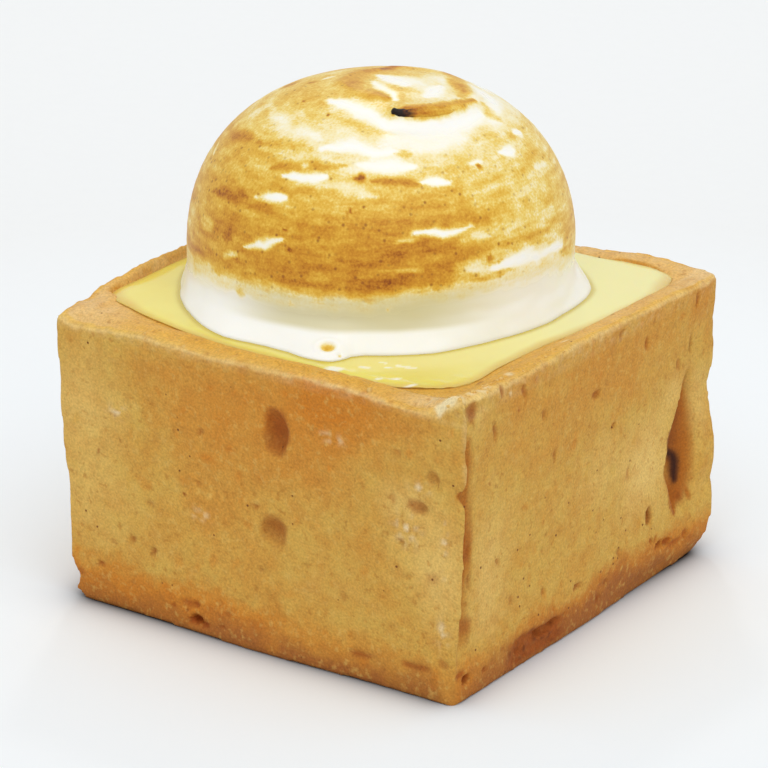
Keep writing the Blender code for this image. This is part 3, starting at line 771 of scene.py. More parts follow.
crust_low, crust_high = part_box("crust")
low = np.array(crust_low - ring_middle) / MM
high = np.array(crust_high - ring_middle) / MM
print("skin before the fit, mm:", where.min(0).round(2), where.max(0).round(2))
for axis in (0, 1):
    skin_low, skin_high = where[:, axis].min(), where[:, axis].max()
    stretch = (high[axis] - low[axis]) / (skin_high - skin_low)
    where[:, axis] = low[axis] + (where[:, axis] - skin_low) * stretch
where[:, 2] = np.clip(where[:, 2], 0, high[2])
move_to(crust.data, where)

# %% [markdown]
# The bake is painted from the same places: height gives the blush of the rim and the scorch of the
# base, and noise breaks their edges. Each coat of the material gets one value for every point of the
# mesh, and whatever is laid on a coat later only counts where it's stronger.

# %% Bake of the walls
BAKE = {  # place along the wall, height, half length and half height in mm, and more or less bake than usual
    "front": (
        (12, 36, 9, 7, 0.9), (-3, 31, 9, 8, 0.55), (-13, 33, 5, 6, 0.25), (8, 26, 7, 6, 0.4),
        (-7, 21, 5, 7, 0.4), (-3, 11, 6, 4, 0.25), (-27, 26, 7, 9, -0.5), (-26, 15, 6, 6, -0.3),
        (22, 25, 4, 3, -0.6), (27, 17, 4, 7, -0.8), (22, 35, 9, 4, 0.25),
    ),
    "right": (
        (-1, 34, 6, 6, 0.4), (9, 31, 6, 6, 0.35), (26, 36, 4, 4, 0.45), (-16, 30, 4, 4, 0.25),
        (-9, 28, 5, 6, 0.2), (-22, 15, 3.5, 8, -0.7), (-25, 36, 4, 3, -0.4), (14, 17, 5.5, 6, -1.0),
        (3, 20, 6, 5, -0.4), (20, 25, 3, 3, -0.5), (26, 22, 3, 5, -0.5), (-17, 36, 9, 5, 0.3),
        (17, 36, 9, 5, 0.35), (-19, 4, 5, 3, -0.5),
    ),
}
COATS = (
    "pale", "blush", "scorch", "glaze", "film", "gold", "syrup", "raw_and_highlight", "flour", "amber", "hollow", "dark",
)
coat = {name: np.zeros(len(where)) for name in COATS}


def lay(name, values):
    """Adds to a coat where the values are stronger than what it has."""
    coat[name] = np.maximum(coat[name], values)


def oval(across, half_across, up, half_up):
    """1 in the middle of an oval spot and falling off smoothly, from the distances to its middle."""
    return bump_at(0, 1, np.hypot(across / half_across, up / half_up))


facing = normals_of(crust.data)
x, y, z = where.T
broad = lumps(where, 9.0, 11)
patch = lumps(where, 3.5, 12)
mottled = lumps(where, 1.7, 18)
spotted = step(0.35, 0.75, lumps(where, (1.5, 1.5, 1.9), 19))
sandy = lumps(where, 0.8, 13)
front_wall = step(28, 28.8, -y)
right_wall = step(28.4, 29.2, x)
far_walls = np.clip(1 - front_wall - right_wall, 0, 1)
bake = 0.12 * broad + 0.10 * patch + 0.10 * mottled + far_walls * (0.5 * step(26, 37, z) + 0.3 * broad)
bake += 0.35 * spotted
for shown, along, wall in ((front_wall, x, "front"), (right_wall, y, "right")):
    for place, level, half_long, half_tall, amount in BAKE[wall]:
        bake += amount * shown * oval(along - place, half_long, z - level, half_tall)
low_down = z + 1.6 * broad + 1.4 * patch + 0.7 * fine + 0.6 * sandy
bake += step(7.5, 4.0, low_down) * (0.85 - 0.4 * front_wall * step(0, 6, x))
lay("pale", -bake)
lay("blush", bake)
near_corner = step(4, 1.5, np.hypot(x - HALF, y + HALF))
scorch = 0.85 * step(5.4, 0.4, low_down) * (1 - 0.5 * near_corner)
scorch += 0.5 * right_wall * bump_at(0, 15, y) * step(7.2, 3, low_down)
scorch += 0.25 * right_wall * bump_at(5, 9, y) * step(5, 2, low_down)
scorch += 0.35 * front_wall * bump_at(8, 12, x) * step(5, 1.5, low_down)
lay("scorch", scorch)
print("mean bake of the front wall:", round(float(bake[front_wall > 0.5].mean()), 2))

# %% [markdown]
# The flat inner rim carries a thin glaze of cooked curd, whitish where butter set in it. Its outer edge
# is golden in spots, partly from the bake and partly a painted highlight where it turns up to the light,
# and a paler painted highlight runs along the rounded edge and along the proud strip end. The cut end of
# the front strip stayed raw and pale, with syrup pooled in the corner beside it and painted glints on the
# syrup, and dry flour clings to the front wall in smears.

# %% Glaze, raw edges, painted highlights and flour
CUT_END = (
    (26.6, -29.7, 37.4), (27.3, -29.4, 38.1), (28.1, -29.3, 38.8), (28.9, -29.2, 39.4), (29.3, -28.2, 39.5),
    (29.4, -27.1, 39.0),
)
# Pale raw crumbs. The last two rows are painted glints on the syrup in the corner.
RAW_PATCHES_AND_GLINTS = (  # x, y, height and radius, mm
    (28.8, -25.2, 38.9, 0.8), (29.3, -23.6, 38.9, 0.8), (28.9, -22.0, 38.9, 0.7), (28.5, -16.6, 38.7, 0.7),
    (28.1, -3.6, 38.8, 0.6), (30.2, -18.6, 37.2, 0.4), (25.4, -27.3, 37.9, 0.5), (24.6, -28.4, 37.9, 0.4),
)
FLOUR_SMEARS = (  # x, height, half width and half height on the front wall, mm
    (24.6, 27.4, 1.2, 0.6), (22.6, 21.6, 1.6, 1.8), (27.7, 9.2, 0.7, 1.6), (27.9, 20.0, 0.4, 4.0),
    (-8.5, 16.0, 1.4, 0.7), (12.0, 31.0, 1.6, 0.6), (-21.0, 27.0, 1.2, 0.8),
)

top = step(0.45, 0.85, facing[:, 2]) * (z > 35)
edge_line = step(29.0, 29.5, outward + 0.25 * sandy)
glaze = 0.9 * top * (1 - edge_line)
lay("glaze", glaze)
near_left = bump_at(0, 7, np.hypot(x + 28, y + 27))
near_back = step(20, 27, y) + 0.6 * step(26.5, 27.5, x) * step(-12, 8, y)
near_cut = oval(x - 24.6, 4.2, y + 27.9, 1.5)
buttery = np.clip(0.12 + 0.75 * near_left + 0.5 * near_back + 0.8 * near_cut, 0, 0.9)
streaks = 0.5 + 0.5 * lumps(where, (1.2, 4.0, 3.0), 17)
lay("film", glaze * buttery * (0.55 + 0.6 * streaks))
lay("syrup", top * step(3.6, 2.2, np.hypot((x - 24.2) / 1.6, y + 27.9)) * (y > -29.5))
# Golden in spots along the outer edge: partly bake, partly a painted highlight where the edge turns up to the
# light.
gold = 0.6 * step(28.9, 29.3, outward) * step(36.4, 37.2, z)
gold *= step(-0.9, 0.5, sandy) * step(0.15, 0.5, facing[:, 2])
lay("gold", gold)

away, share = near_line(where, CUT_END)
cut = step(1.5, 0.5, away + 0.12 * sandy) * step(1.3, 0.4, share) * step(0, 0.12, share)
lay("raw_and_highlight", 0.9 * cut * step(0, 0.3, facing[:, 2]))
lay("raw_and_highlight", 0.5 * gold * step(-12, -24, y) * step(27, 28, x))
# Painted highlight: the rounded edge between the wall and the rim, half turned up, is painted paler.
rim_line = bump_at(0.5, 0.35, facing[:, 2]) * (z > 36.4) * step(28.4, 29.0, outward)
lay("raw_and_highlight", 0.4 * rim_line * (0.6 + 0.4 * patch))
# Painted highlight: a thin pale line along the edge of the proud strip end.
lay("raw_and_highlight", 0.15 * step(30.8, 31.1, x) * step(-29.0, -29.5, y) * step(5, 8, z))
# Pale raw crumbs, and painted glints on the syrup.
for *spot, radius in RAW_PATCHES_AND_GLINTS:
    lay("raw_and_highlight", 0.6 * step(1.3, 0.4, np.linalg.norm(where - spot, axis=1) / radius + 0.2 * sandy))
for along, high_up, half_width, half_tall in FLOUR_SMEARS:
    smear = oval(x - along, half_width, z - high_up, half_tall)
    lay("flour", 0.8 * smear * step(-0.2, 0.6, sandy) * front_wall)
lay("flour", 0.15 * rim_edge * step(0.1, 0.6, sandy) * (1 - top))
print("points with raw pastry or flour:", int((coat["raw_and_highlight"] + coat["flour"] > 0.3).sum()))

# %% [markdown]
# Little light gets in behind the proud strip end, so a brown painted shade of uneven width runs down
# beside it, and the nick is painted darker. The pocket of the fold is painted shade: amber that fades
# out where light reaches it, browner towards the flap, whose lit edge keeps less of it, and nearly black
# in its deepest hole and in the crack above, with an amber line of shade along the crack by the lump.
# The insides of the air holes, the joint and the torn base are browned.

# %% Painted shade of the seam and the fold, and the browned holes
SHADE_BLOBS = ((20.0, 3.2, 1.0), (9.3, 2.2, 1.0), (36.5, 1.6, 0.3))  # height, half height and share
SHADE_END = -25.8  # how far along the right wall it reaches, mm
# Painted shade, nearly black, in the hole in the fold and in the crack below it.
POCKET_DARK = (  # the hole in the fold, and the crack that runs down from it
    (27.4, 22.3, 15.9), (27.8, 22.9, 15.2), (28.0, 23.3, 14.3), (28.0, 23.3, 12.6), (28.1, 23.4, 11.6),
)
POCKET_DARK_WIDTH = ((0, 0.5), (0.25, 0.75), (0.7, 0.75), (1, 0.45))  # share of its length, half width
LUMP_CRACK = ((28.7, 24.4, 11.3), (29.1, 24.7, 10.2), (29.3, 24.9, 9.0))

# Painted shade behind the seam.
blobs = sum(strength * bump_at(level, half_tall, z) for level, half_tall, strength in SHADE_BLOBS)
shade_end = SHADE_END + 0.8 * blobs + 0.3 * patch
shade = 0.3 * step(34, 31, z) * step(6, 9, z) + 0.2 * step(24, 21, z) * step(11, 13, z) + 0.3 * blobs
shade *= step(shade_end, shade_end - 1.1, y)
shade += 0.5 * step(-26.6, -27.1, y) * step(35, 33.5, z) * step(9, 12, z)
lay("amber", shade * (x > 28.2) * step(-28.95, -28.7, y) * step(30.9, 30.6, x))
# Painted shade in the nick.
nicked = (x > 29.4) * (y > -29.6) * (y < -28.2) * bump_at(NICK_HEIGHT, 0.8, z)
lay("amber", nicked * step(0.2, 0.6, facing[:, 0]))

lay("hollow", hollow)
lay("hollow", 0.75 * joint * outer)
lay("hollow", 0.75 * torn)
pocket = in_pocket * step(29.8, 29.2, x) * (across_pocket > 0.03)
lit_from = 0.7 + 0.15 * bump_at(14, 5, z)  # share of the fold's width from which light reaches it
# Painted shade in the pocket: amber that fades out where light reaches it, browner towards the flap.
lay("amber", 0.9 * pocket * step(1.2, lit_from, across_pocket))
lay("hollow", 0.5 * pocket * step(0.9, 0.5, across_pocket))
# The lit edge of the flap, at mid height, keeps less of the painted shade.
by_flap = step(0.7, 0.5, across_pocket) * bump_at(13.5, 2.4, z)
coat["amber"] *= 1 - 0.6 * by_flap
coat["hollow"] *= (1 - 0.7 * by_flap) * (1 - in_lump)
lay("hollow", 0.55 * in_lump)
# Painted shade, nearly black: the pocket's hole and crack, the side by the flap, and the slit above the fold.
away, share = near_line(where, POCKET_DARK)
lay("dark", 0.95 * pocket * step(1.7, 0.2, away / np.interp(share, *zip(*POCKET_DARK_WIDTH))))
lay("dark", 0.45 * pocket * step(0.8, 0.3, across_pocket) * step(14, 17, z) * step(24, 20, z))
lay("dark", 0.7 * slit)
lay("dark", 0.6 * torn * step(-0.15, -0.75, lumps(where, 0.8, 15)))
# Painted shade along the crack by the lump.
away, _ = near_line(where, LUMP_CRACK)
lay("amber", 0.8 * step(0.7, 0.1, away))
for name, values in coat.items():
    paint(crust.data, name, values)
print("points browned inside holes:", int((coat["hollow"] > 0.3).sum()))
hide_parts("crust")

# %% [markdown]
# ## Form of the dome
# The dome's shape is needed before the curd is made, because the curd meets its foot. It is the same
# flattened half sphere that the CAD turns. Its foot rolls out over the curd where the meringue was
# pressed down, most at the front and at the right, and draws in between.

# %% Form of the dome
DOME_CENTRE = np.array((-2.74, 1.57))
DOME_RADIUS = 24.5
DOME_EQUATOR = 43.7
DOME_RISE = 21.8
DOME_POWER = 2.27  # 2 is a true ellipse, and more is squarer
FOOT_CENTRE = np.array((-2.55, 0.75))
FOOT_TOP = 42.2
FOOT_MIDDLE = 38.8
FOOT_BOTTOM = 38.3  # a little below the curd's level, so that the two touch
FOOT_REACH = (  # turn in degrees and the foot's radius there, mm
    (-180, 25.4), (-160, 25.1), (-140, 25.0), (-121, 25.8), (-110, 26.5), (-100, 26.8), (-92, 26.3),
    (-86, 26.2), (-79, 26.7), (-75, 27.4), (-70, 28.0), (-67, 28.0), (-64.5, 27.2), (-62, 25.8),
    (-59, 25.2), (-50, 25.1), (-40, 25.1), (-34, 24.7), (-28, 24.3), (-16, 24.1), (-2, 24.4), (11, 25.0),
    (19, 25.6), (26, 26.3), (33, 26.8), (50, 26.4), (80, 25.7), (120, 26.0), (150, 25.7), (180, 25.4),
)
CASE_INSIDE = -26.9  # the left wall stops the foot here


def dome_height(radius):
    share = np.clip(radius / DOME_RADIUS, 0, 1) ** DOME_POWER
    return DOME_EQUATOR + DOME_RISE * (1 - share) ** (1 / DOME_POWER)


def dome_radius(height):
    share = np.clip((height - DOME_EQUATOR) / DOME_RISE, 0, 1) ** DOME_POWER
    return DOME_RADIUS * (1 - share) ** (1 / DOME_POWER)


def foot_reach(turn):
    """The foot's radius at a turn round the dome, in radians."""
    return np.interp(np.degrees(turn), *zip(*FOOT_REACH)) + 0.06 * np.sin(11 * turn + 2)


def past_foot(points):
    """Distance outside the foot's edge, in mm."""
    arm = points[:, :2] - FOOT_CENTRE
    return np.hypot(*arm.T) - foot_reach(np.arctan2(arm[:, 1], arm[:, 0]))


print("top of the dome, mm:", float(dome_height(0)))

# %% [markdown]
# ## Lemon curd
# Curd is a set custard of lemon juice, egg and butter: smooth, slightly see-through and wet on top.
# Its edge thins out over the pastry, where the crust shows through and tints it. The surface is made
# ring by ring from that edge to the foot of the dome and a little under it, so that the mesh is
# finest where it curves, and the hidden body below is only closed off.

# %% Lemon curd material
lemon_curd, tree = new_material("set lemon curd")
place = add(tree, "ShaderNodeTexCoord").node.outputs["Object"]
cloud = add(tree, "ShaderNodeTexNoise", {"Vector": place, "Scale": 1 / (9 * MM), "Detail": 3.0})
share = add(tree, "ShaderNodeMapRange", {0: cloud, 1: 0.35, 2: 0.65})
colour = add(tree, "ShaderNodeMix", {0: share, 6: "#F1E372", 7: "#EEDD68"}, data_type="RGBA")
# The line round the foot is painted shade, the bright streaks are painted glints, and the far side is painted
# paler by light from the room.
colour = coats(tree, colour, {"far": "#F1EAA2", "ring": "#CDB02A", "thin": "#DEB45A", "painted_glint": "#FFFDEE"})
shader = add(
    tree, "ShaderNodeBsdfPrincipled",
    {
        "Base Color": colour, "Roughness": 0.16, "IOR": 1.42, "Subsurface Weight": 0.4,
        "Subsurface Radius": (1.0, 0.8, 0.3), "Subsurface Scale": 1.2 * MM, "Coat Weight": 0.3,
    },
)
add(tree, "ShaderNodeOutputMaterial", {0: shader})
print("nodes in the curd:", len(tree.nodes))

# %% Curd surface and body
RINGS = 30
UNDER_FOOT = 0.6  # how far the surface runs on under the foot, mm
BODY_STEPS = ((37.2, 0.955), (4.3, 0.915))  # height of a lower outline and its size
CURD_MIDDLE = Vector((-0.5, 0.0))

bm = bmesh.new()
bmesh.ops.create_circle(bm, segments=EDGE_POINTS, radius=1)
bm.verts.ensure_lookup_table()
for vert, (x, y) in zip(list(bm.verts), curd_edge):
    vert.co = (x, y, CURD_LEVEL)
rim_edges = list(bm.edges)
arms = curd_edge - FOOT_CENTRE
reach = np.hypot(*arms.T)
arms /= reach[:, None]
inner = np.minimum(foot_reach(np.arctan2(arms[:, 1], arms[:, 0])) - UNDER_FOOT, reach - UNDER_FOOT)
ring = rim_edges
for i in range(1, RINGS + 1):
    new, ring = grow_ring(bm, ring)
    share = i / RINGS
    share = 0.6 * share * share * (3 - 2 * share) + 0.4 * share  # closer together at both ends
    for vert in new:
        arm = np.array(vert.co.xy) - FOOT_CENTRE
        spoke = int(np.argmax(arms @ (arm / np.hypot(*arm))))
        vert.co.xy = FOOT_CENTRE + arms[spoke] * (reach[spoke] + (inner[spoke] - reach[spoke]) * share)
bmesh.ops.holes_fill(bm, edges=ring)
ring = rim_edges
for height, size in BODY_STEPS:
    new, ring = grow_ring(bm, ring)
    for vert in new:
        vert.co.xy = CURD_MIDDLE + (vert.co.xy - CURD_MIDDLE) * size
        vert.co.z = height
bmesh.ops.holes_fill(bm, edges=ring)
bmesh.ops.recalc_face_normals(bm, faces=bm.faces)
curd = new_piece("curd_filling", bm, lemon_curd)

# %% [markdown]
# The wet edge falls to the pastry over half a millimetre, and the curd ripples where it ran against
# the near corner. Four things are painted: the thin edge where pastry shows through, a yellow line of
# painted shade round the foot, painted glints as bright streaks on the ripples, and a far side painted
# paler, as light from the white room.

# %% Level, ripples and thin edge of the curd
EDGE_DROP = 0.30  # how far the wet edge falls to the pastry, mm
EDGE_WIDE = 0.5
PAINTED_GLINTS = (  # strength, half width, and the line in mm
    (0.9, 0.6, (9.6, -26.6), (10.5, -26.2)), (0.8, 0.22, (12.3, -24.1), (13.2, -23.8)),
    (0.6, 0.2, (13.2, -21.4), (14.0, -21.3)), (0.8, 0.22, (14.9, -22.4), (15.2, -22.1)),
    (0.7, 0.3, (15.6, -21.2), (17.6, -20.7)), (0.8, 0.22, (16.0, -26.2), (16.4, -25.9)),
    (0.9, 0.28, (17.6, -25.1), (18.1, -24.6)),
    (0.7, 0.2, (16.0, -27.0), (17.6, -27.0), (19.0, -26.8), (19.9, -26.2), (20.7, -25.0)),
)

where = built_points(curd.data)
surface = where[:, 2] == CURD_LEVEL
inside = from_curd_edge(where)
beyond = past_foot(where)
x, y, _ = where.T
ripple = lumps(where, (2.4, 0.9, 9), 21) * step(3.6, 1.4, inside) * step(4, 9, x) * step(-17, -21, y)
level = CURD_LEVEL + CURD_TILT * x - EDGE_DROP * np.exp(-inside / EDGE_WIDE)
level += 0.05 * lumps(where, 6.0, 22) + 0.2 * ripple
level += 0.06 * np.exp(-np.maximum(beyond, 0) / 0.25)  # it climbs a little on the meringue
where[:, 2] = np.where(surface, level, where[:, 2])
move_to(curd.data, where)
width = 1.0 + 1.5 * bump_at(0, 5, np.hypot(x + 27, y + 21)) + 1.2 * bump_at(0, 6, np.hypot(x - 27, y - 25))
width += 0.5 * step(22, 25, x) + 0.35 * lumps(where, 3, 23)
# Painted glints: bright streaks on the ripples near the front.
painted_glint = np.zeros(len(where))
for strength, half_width, *line in PAINTED_GLINTS:
    away, _ = near_line(where * (1, 1, 0), [(*point, 0) for point in line])
    painted_glint = np.maximum(painted_glint, strength * step(1.5, 0.5, away / half_width + 0.2 * lumps(where, 0.6, 24)))
paint(curd.data, "thin", 0.85 * step(width, -0.2, inside))
# Painted shade in a line round the foot, the painted glints, and the far side painted paler as light from the
# room.
paint(curd.data, "ring", 0.75 * bump_at(0.15, 0.4, beyond))
paint(curd.data, "painted_glint", painted_glint * surface)
paint(curd.data, "far", step(-12, 22, y * 0.8 + x * 0.6))
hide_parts("lemon_curd")
print("curd triangles:", triangles_in(curd))

# %% [markdown]
# ## Meringue
# Italian meringue is egg white beaten with hot sugar syrup: snow white, very fine and a little
# glossy. It came out of a round silicone mould, and the last of it was pulled into a curl on top. The
# torch browns what stands proud and skips what lies low, so the brown runs in strokes round the dome
# with white licks between them, and the beak of the curl burnt black.

# %% Meringue material
SUGAR = 0.32  # width of the finest mottling, mm
CLOT = 1.5
BAND = 2.8
FLATTENED = (0.7, 0.7, 3.5)  # makes the torch's bands 4 mm long and 0.8 mm tall, so they lie level
DOT_SPACING = 0.8  # between the dark dots of burnt bubbles

torched_meringue, tree = new_material("torched italian meringue")
place = add(tree, "ShaderNodeTexCoord").node.outputs["Object"]
level = add(tree, "ShaderNodeMapping", {"Vector": place, "Scale": FLATTENED})
fine = add(tree, "ShaderNodeTexNoise", {"Vector": place, "Scale": 1 / (SUGAR * MM), "Detail": 3.0})
clots = add(tree, "ShaderNodeTexNoise", {"Vector": place, "Scale": 1 / (CLOT * MM), "Detail": 3.0})
bands = add(tree, "ShaderNodeTexNoise", {"Vector": level, "Scale": 1 / (BAND * MM), "Detail": 4.0})
toast = add(tree, "ShaderNodeAttribute", attribute_name="toast").node.outputs["Fac"]

# The painted brown is broken up by all three, but only where there is some.
uneven = add(tree, "ShaderNodeMapRange", {0: fine, 1: 0.25, 2: 0.75, 3: -0.11, 4: 0.11})
for noisy, most in ((clots, 0.07), (bands, 0.10)):
    more = add(tree, "ShaderNodeMapRange", {0: noisy, 1: 0.3, 2: 0.7, 3: -most, 4: most})
    uneven = add(tree, "ShaderNodeMath", {0: uneven, 1: more}, operation="ADD")
browned = add(tree, "ShaderNodeMapRange", {0: toast, 1: 0.03, 2: 0.35})
uneven = add(tree, "ShaderNodeMath", {0: uneven, 1: browned}, operation="MULTIPLY")
toast = add(tree, "ShaderNodeMath", {0: toast, 1: uneven}, operation="ADD")
colour = add(
    tree, "ShaderNodeValToRGB", {0: toast},
    stops=(
        (0.0, "#FCFAF3"), (0.10, "#FBF5E3"), (0.22, "#F6E7B4"), (0.36, "#EED06F"), (0.50, "#E4B644"),
        (0.64, "#D79F30"), (0.78, "#C88722"), (0.90, "#B06A16"), (1.0, "#8A4612"),
    ),
)

# Sugar burns first on tiny bubbles, as dark dots on the brown.
dots = add(tree, "ShaderNodeTexVoronoi", {"Vector": place, "Scale": 1 / (DOT_SPACING * MM)})
near = add(tree, "ShaderNodeMapRange", {0: dots, 1: 0.34, 2: 0.12})
chosen = add(tree, "ShaderNodeSeparateColor", {0: dots.node.outputs["Color"]})
chosen = add(tree, "ShaderNodeMapRange", {0: chosen, 1: 0.5, 2: 0.9})
share = add(tree, "ShaderNodeMath", {0: near, 1: chosen}, operation="MULTIPLY")
on_brown = add(tree, "ShaderNodeMapRange", {0: toast, 1: 0.15, 2: 0.6, 4: 0.8})
share = add(tree, "ShaderNodeMath", {0: share, 1: on_brown}, operation="MULTIPLY")
colour = add(tree, "ShaderNodeMix", {0: share, 6: colour, 7: "#96551C"}, data_type="RGBA")
# A greyish yellow band of painted shade above the foot, tinted by a painted reflection of the curd, then the
# beak's black char.
colour = coats(tree, colour, {"shade_above_foot": "#D8CFA6", "char": "#160A07"})
height = add(tree, "ShaderNodeMath", {0: fine, 1: browned}, operation="MULTIPLY")
bump = add(tree, "ShaderNodeBump", {"Height": height, "Strength": 0.22, "Distance": 0.09 * MM})
rough = add(tree, "ShaderNodeMapRange", {0: toast, 2: 0.6, 3: 0.26, 4: 0.44})
shader = add(
    tree, "ShaderNodeBsdfPrincipled",
    {
        "Base Color": colour, "Roughness": rough, "Normal": bump, "IOR": 1.45, "Specular IOR Level": 0.3,
        "Subsurface Weight": 0.18, "Subsurface Radius": (1.0, 0.85, 0.6), "Subsurface Scale": 0.7 * MM,
    },
)
add(tree, "ShaderNodeOutputMaterial", {0: shader})
print("nodes in the meringue:", len(tree.nodes))

# %% [markdown]
# Half the dome's outline, spun once round, gives the turned form. Its foot is then pushed out to the
# reach that it has at each turn, and the whole leans with the curd that it stands on.

# %% Turned dome
TURNS = 400
SPACING = 0.23  # between rings of points, mm
SLOPE_STEPS = 400  # places at which the half sphere's outline is worked out before it is spaced evenly
TUCK = 0.8  # how far the dome draws in over the foot at the front right
TUCK_TURN = -30
FOOT_UNDERCUT = 0.1  # how far the foot draws in where it meets the curd, mm
BUBBLE_TURN = radians(-68.6)  # the mesh is finer here, for the burst bubble on the foot
BUBBLE_PART = radians(6)
BUBBLE_FROM, BUBBLE_TO = 38.6, 41.3  # heights


def dome_profile():
    """Radius and height from the top down to the foot's underside, evenly spaced."""
    slope = np.linspace(0, pi / 2, SLOPE_STEPS)
    radius = DOME_RADIUS * np.sin(slope) ** (2 / DOME_POWER)
    corners = [(r, float(dome_height(r))) for r in radius]
    corners += [(DOME_RADIUS, height) for height in np.linspace(DOME_EQUATOR, FOOT_MIDDLE, 24)[1:]]
    for under in np.linspace(0, 1, 12)[1:]:
        drop = (FOOT_MIDDLE - FOOT_BOTTOM) * sin(under * pi / 2)
        corners.append((DOME_RADIUS - FOOT_UNDERCUT * (1 - cos(under * pi / 2)), FOOT_MIDDLE - drop))
    corners = np.array(corners)
    gone = np.concatenate([[0], np.cumsum(np.hypot(*np.diff(corners, axis=0).T))])
    even = np.linspace(0, gone[-1], round(gone[-1] / SPACING))
    return [tuple(float(np.interp(part, gone, column)) for column in corners.T) for part in even]


bm = bmesh.new()
profile = dome_profile() + [(DOME_RADIUS * 0.5, FOOT_BOTTOM), (0.0, FOOT_BOTTOM)]
line = [bm.verts.new((radius, 0, height)) for radius, height in profile]
edges = [bm.edges.new(pair) for pair in zip(line, line[1:])]
bmesh.ops.spin(
    bm, geom=line + edges, cent=(0, 0, 0), axis=(0, 0, 1), angle=2 * pi, steps=TURNS, use_merge=True
)
bmesh.ops.remove_doubles(bm, verts=bm.verts, dist=0.001)


def by_bubble(vert):
    """Whether a point of the foot lies in the finer part."""
    aside = abs(np.arctan2(vert.co.y, vert.co.x) - BUBBLE_TURN)
    outside = vert.co.xy.length > DOME_RADIUS - 0.5
    return BUBBLE_FROM < vert.co.z < BUBBLE_TO and aside < BUBBLE_PART and outside


finer = [edge for edge in bm.edges if all(by_bubble(vert) for vert in edge.verts)]
bmesh.ops.subdivide_edges(bm, edges=finer, cuts=2, use_grid_fill=True)
bmesh.ops.recalc_face_normals(bm, faces=bm.faces)
meringue = new_piece("meringue_dome", bm, torched_meringue)
turned = built_points(meringue.data)
turn = np.arctan2(turned[:, 1], turned[:, 0])
roll = np.clip((FOOT_TOP - turned[:, 2]) / (FOOT_TOP - FOOT_MIDDLE), 0, 1) ** 1.6
tuck = TUCK * bump_at(TUCK_TURN, 45, np.degrees(turn)) * step(46.5, FOOT_TOP, turned[:, 2]) * (1 - roll)
grown = ((foot_reach(turn) - DOME_RADIUS) * roll - tuck) / DOME_RADIUS
centre = DOME_CENTRE + (FOOT_CENTRE - DOME_CENTRE) * roll[:, None]
smooth_dome = turned.copy()
smooth_dome[:, :2] = centre + turned[:, :2] * (1 + grown[:, None])
smooth_dome[:, 0] = np.where(roll > 0.5, np.maximum(smooth_dome[:, 0], CASE_INSIDE), smooth_dome[:, 0])
smooth_dome[:, 2] += CURD_TILT * smooth_dome[:, 0] * roll
print("meringue triangles:", triangles_in(meringue))

# %% [markdown]
# The curl is a ridge on an arc, steep on its outer side, with a hollow before it where the spoon
# pressed. Its other strokes are far lower. All of them are given as strokes on the dome, a line with a
# half width and a height, and the same kind of stroke later paints the brown and the white licks.


# %% Strokes on the dome
def on_top(x, y):
    return (x, y, float(dome_height(np.hypot(x - DOME_CENTRE[0], y - DOME_CENTRE[1]))))


def on_side(turn, height):
    out = float(dome_radius(height))
    return (DOME_CENTRE[0] + out * cos(radians(turn)), DOME_CENTRE[1] + out * sin(radians(turn)), height)


def stroke(points, line, half_width, taper=0.6):
    """1 on the stroke's line and 0 past its half width, which narrows towards both ends."""
    away, share = near_line(points, line)
    return step(2.1, 0.1, away / (half_width * (1 - taper * (2 * share - 1) ** 2)))


# %% Relief of the curl
SWIRL_CENTRE = np.array((-2.3, 2.9))
SWIRL_RADIUS = 11.2
SWIRL_START = 36.0  # degrees
SWIRL_END = -55.0
RIDGE = (  # share of its length, and height in mm
    (0.0, 0.0), (0.15, 0.2), (0.5, 0.55), (0.75, 0.9), (0.88, 0.85), (0.96, 0.45), (1.02, 0.0),
)
LEFT_ARC = ((-5.8, 4.8), (-6.4, 1.5), (-5.7, -1.7), (-2.3, -4.0), (1.8, -3.8))
FAR_ARC = ((7.4, 6.2), (3.6, 9.6), (-1.0, 12.2), (-5.4, 7.6))
BUBBLE = np.array((7.2, -24.0, 39.8))
SMALL_BUBBLE = np.array((9.0, -23.7, 39.15))

arm = smooth_dome[:, :2] - SWIRL_CENTRE
turn = np.degrees(np.arctan2(arm[:, 1], arm[:, 0]))
share = (SWIRL_START - turn) / (SWIRL_START - SWIRL_END)
off_line = np.hypot(*arm.T) - SWIRL_RADIUS
on_crown = step(60, 61.5, smooth_dome[:, 2])
tall = np.interp(share, *zip(*RIDGE)) * (share > 0) * (share < 1.02) * on_crown
ridge = tall * bump_at(0, 1, off_line / np.where(off_line > 0, 0.7, 2.2))
before = step(0.15, 0.5, share) * step(1.35, 1.0, share) * on_crown
hollowed = 0.45 * before * bump_at(2.6, 1.5, off_line)
left_arc = stroke(smooth_dome, [on_top(*point) for point in LEFT_ARC], 1.2)
far_arc = stroke(smooth_dome, [on_top(*point) for point in FAR_ARC], 1.4)
relief = ridge - hollowed + 0.30 * left_arc + 0.22 * far_arc
relief += 0.035 * lumps(smooth_dome, (5, 5, 0.9), 31) * step(42, 44, smooth_dome[:, 2])
relief += 0.10 * lumps(smooth_dome, (3.5, 3.5, 1.6), 32) * step(43.5, 41.5, smooth_dome[:, 2])
from_bubble = np.linalg.norm((smooth_dome - BUBBLE) * (0.75, 0.75, 1.8), axis=1)
from_small = np.linalg.norm(smooth_dome - SMALL_BUBBLE, axis=1)
relief += 0.12 * bump_at(1.25, 0.3, from_bubble) - 0.35 * step(1.05, 0.55, from_bubble)
relief -= 0.25 * step(0.5, 0.2, from_small)
relief[turned[:, 2] < FOOT_BOTTOM + 0.05] = 0
move_to(meringue.data, smooth_dome)
where = smooth_dome + normals_of(meringue.data) * relief[:, None]
top_of_cad = (cad_box[1][2] - ring_middle.z) / MM
where[:, 2] = np.minimum(where[:, 2], top_of_cad)
move_to(meringue.data, where)
print("relief of the meringue, mm:", round(float(relief.min()), 2), "to", round(float(relief.max()), 2))

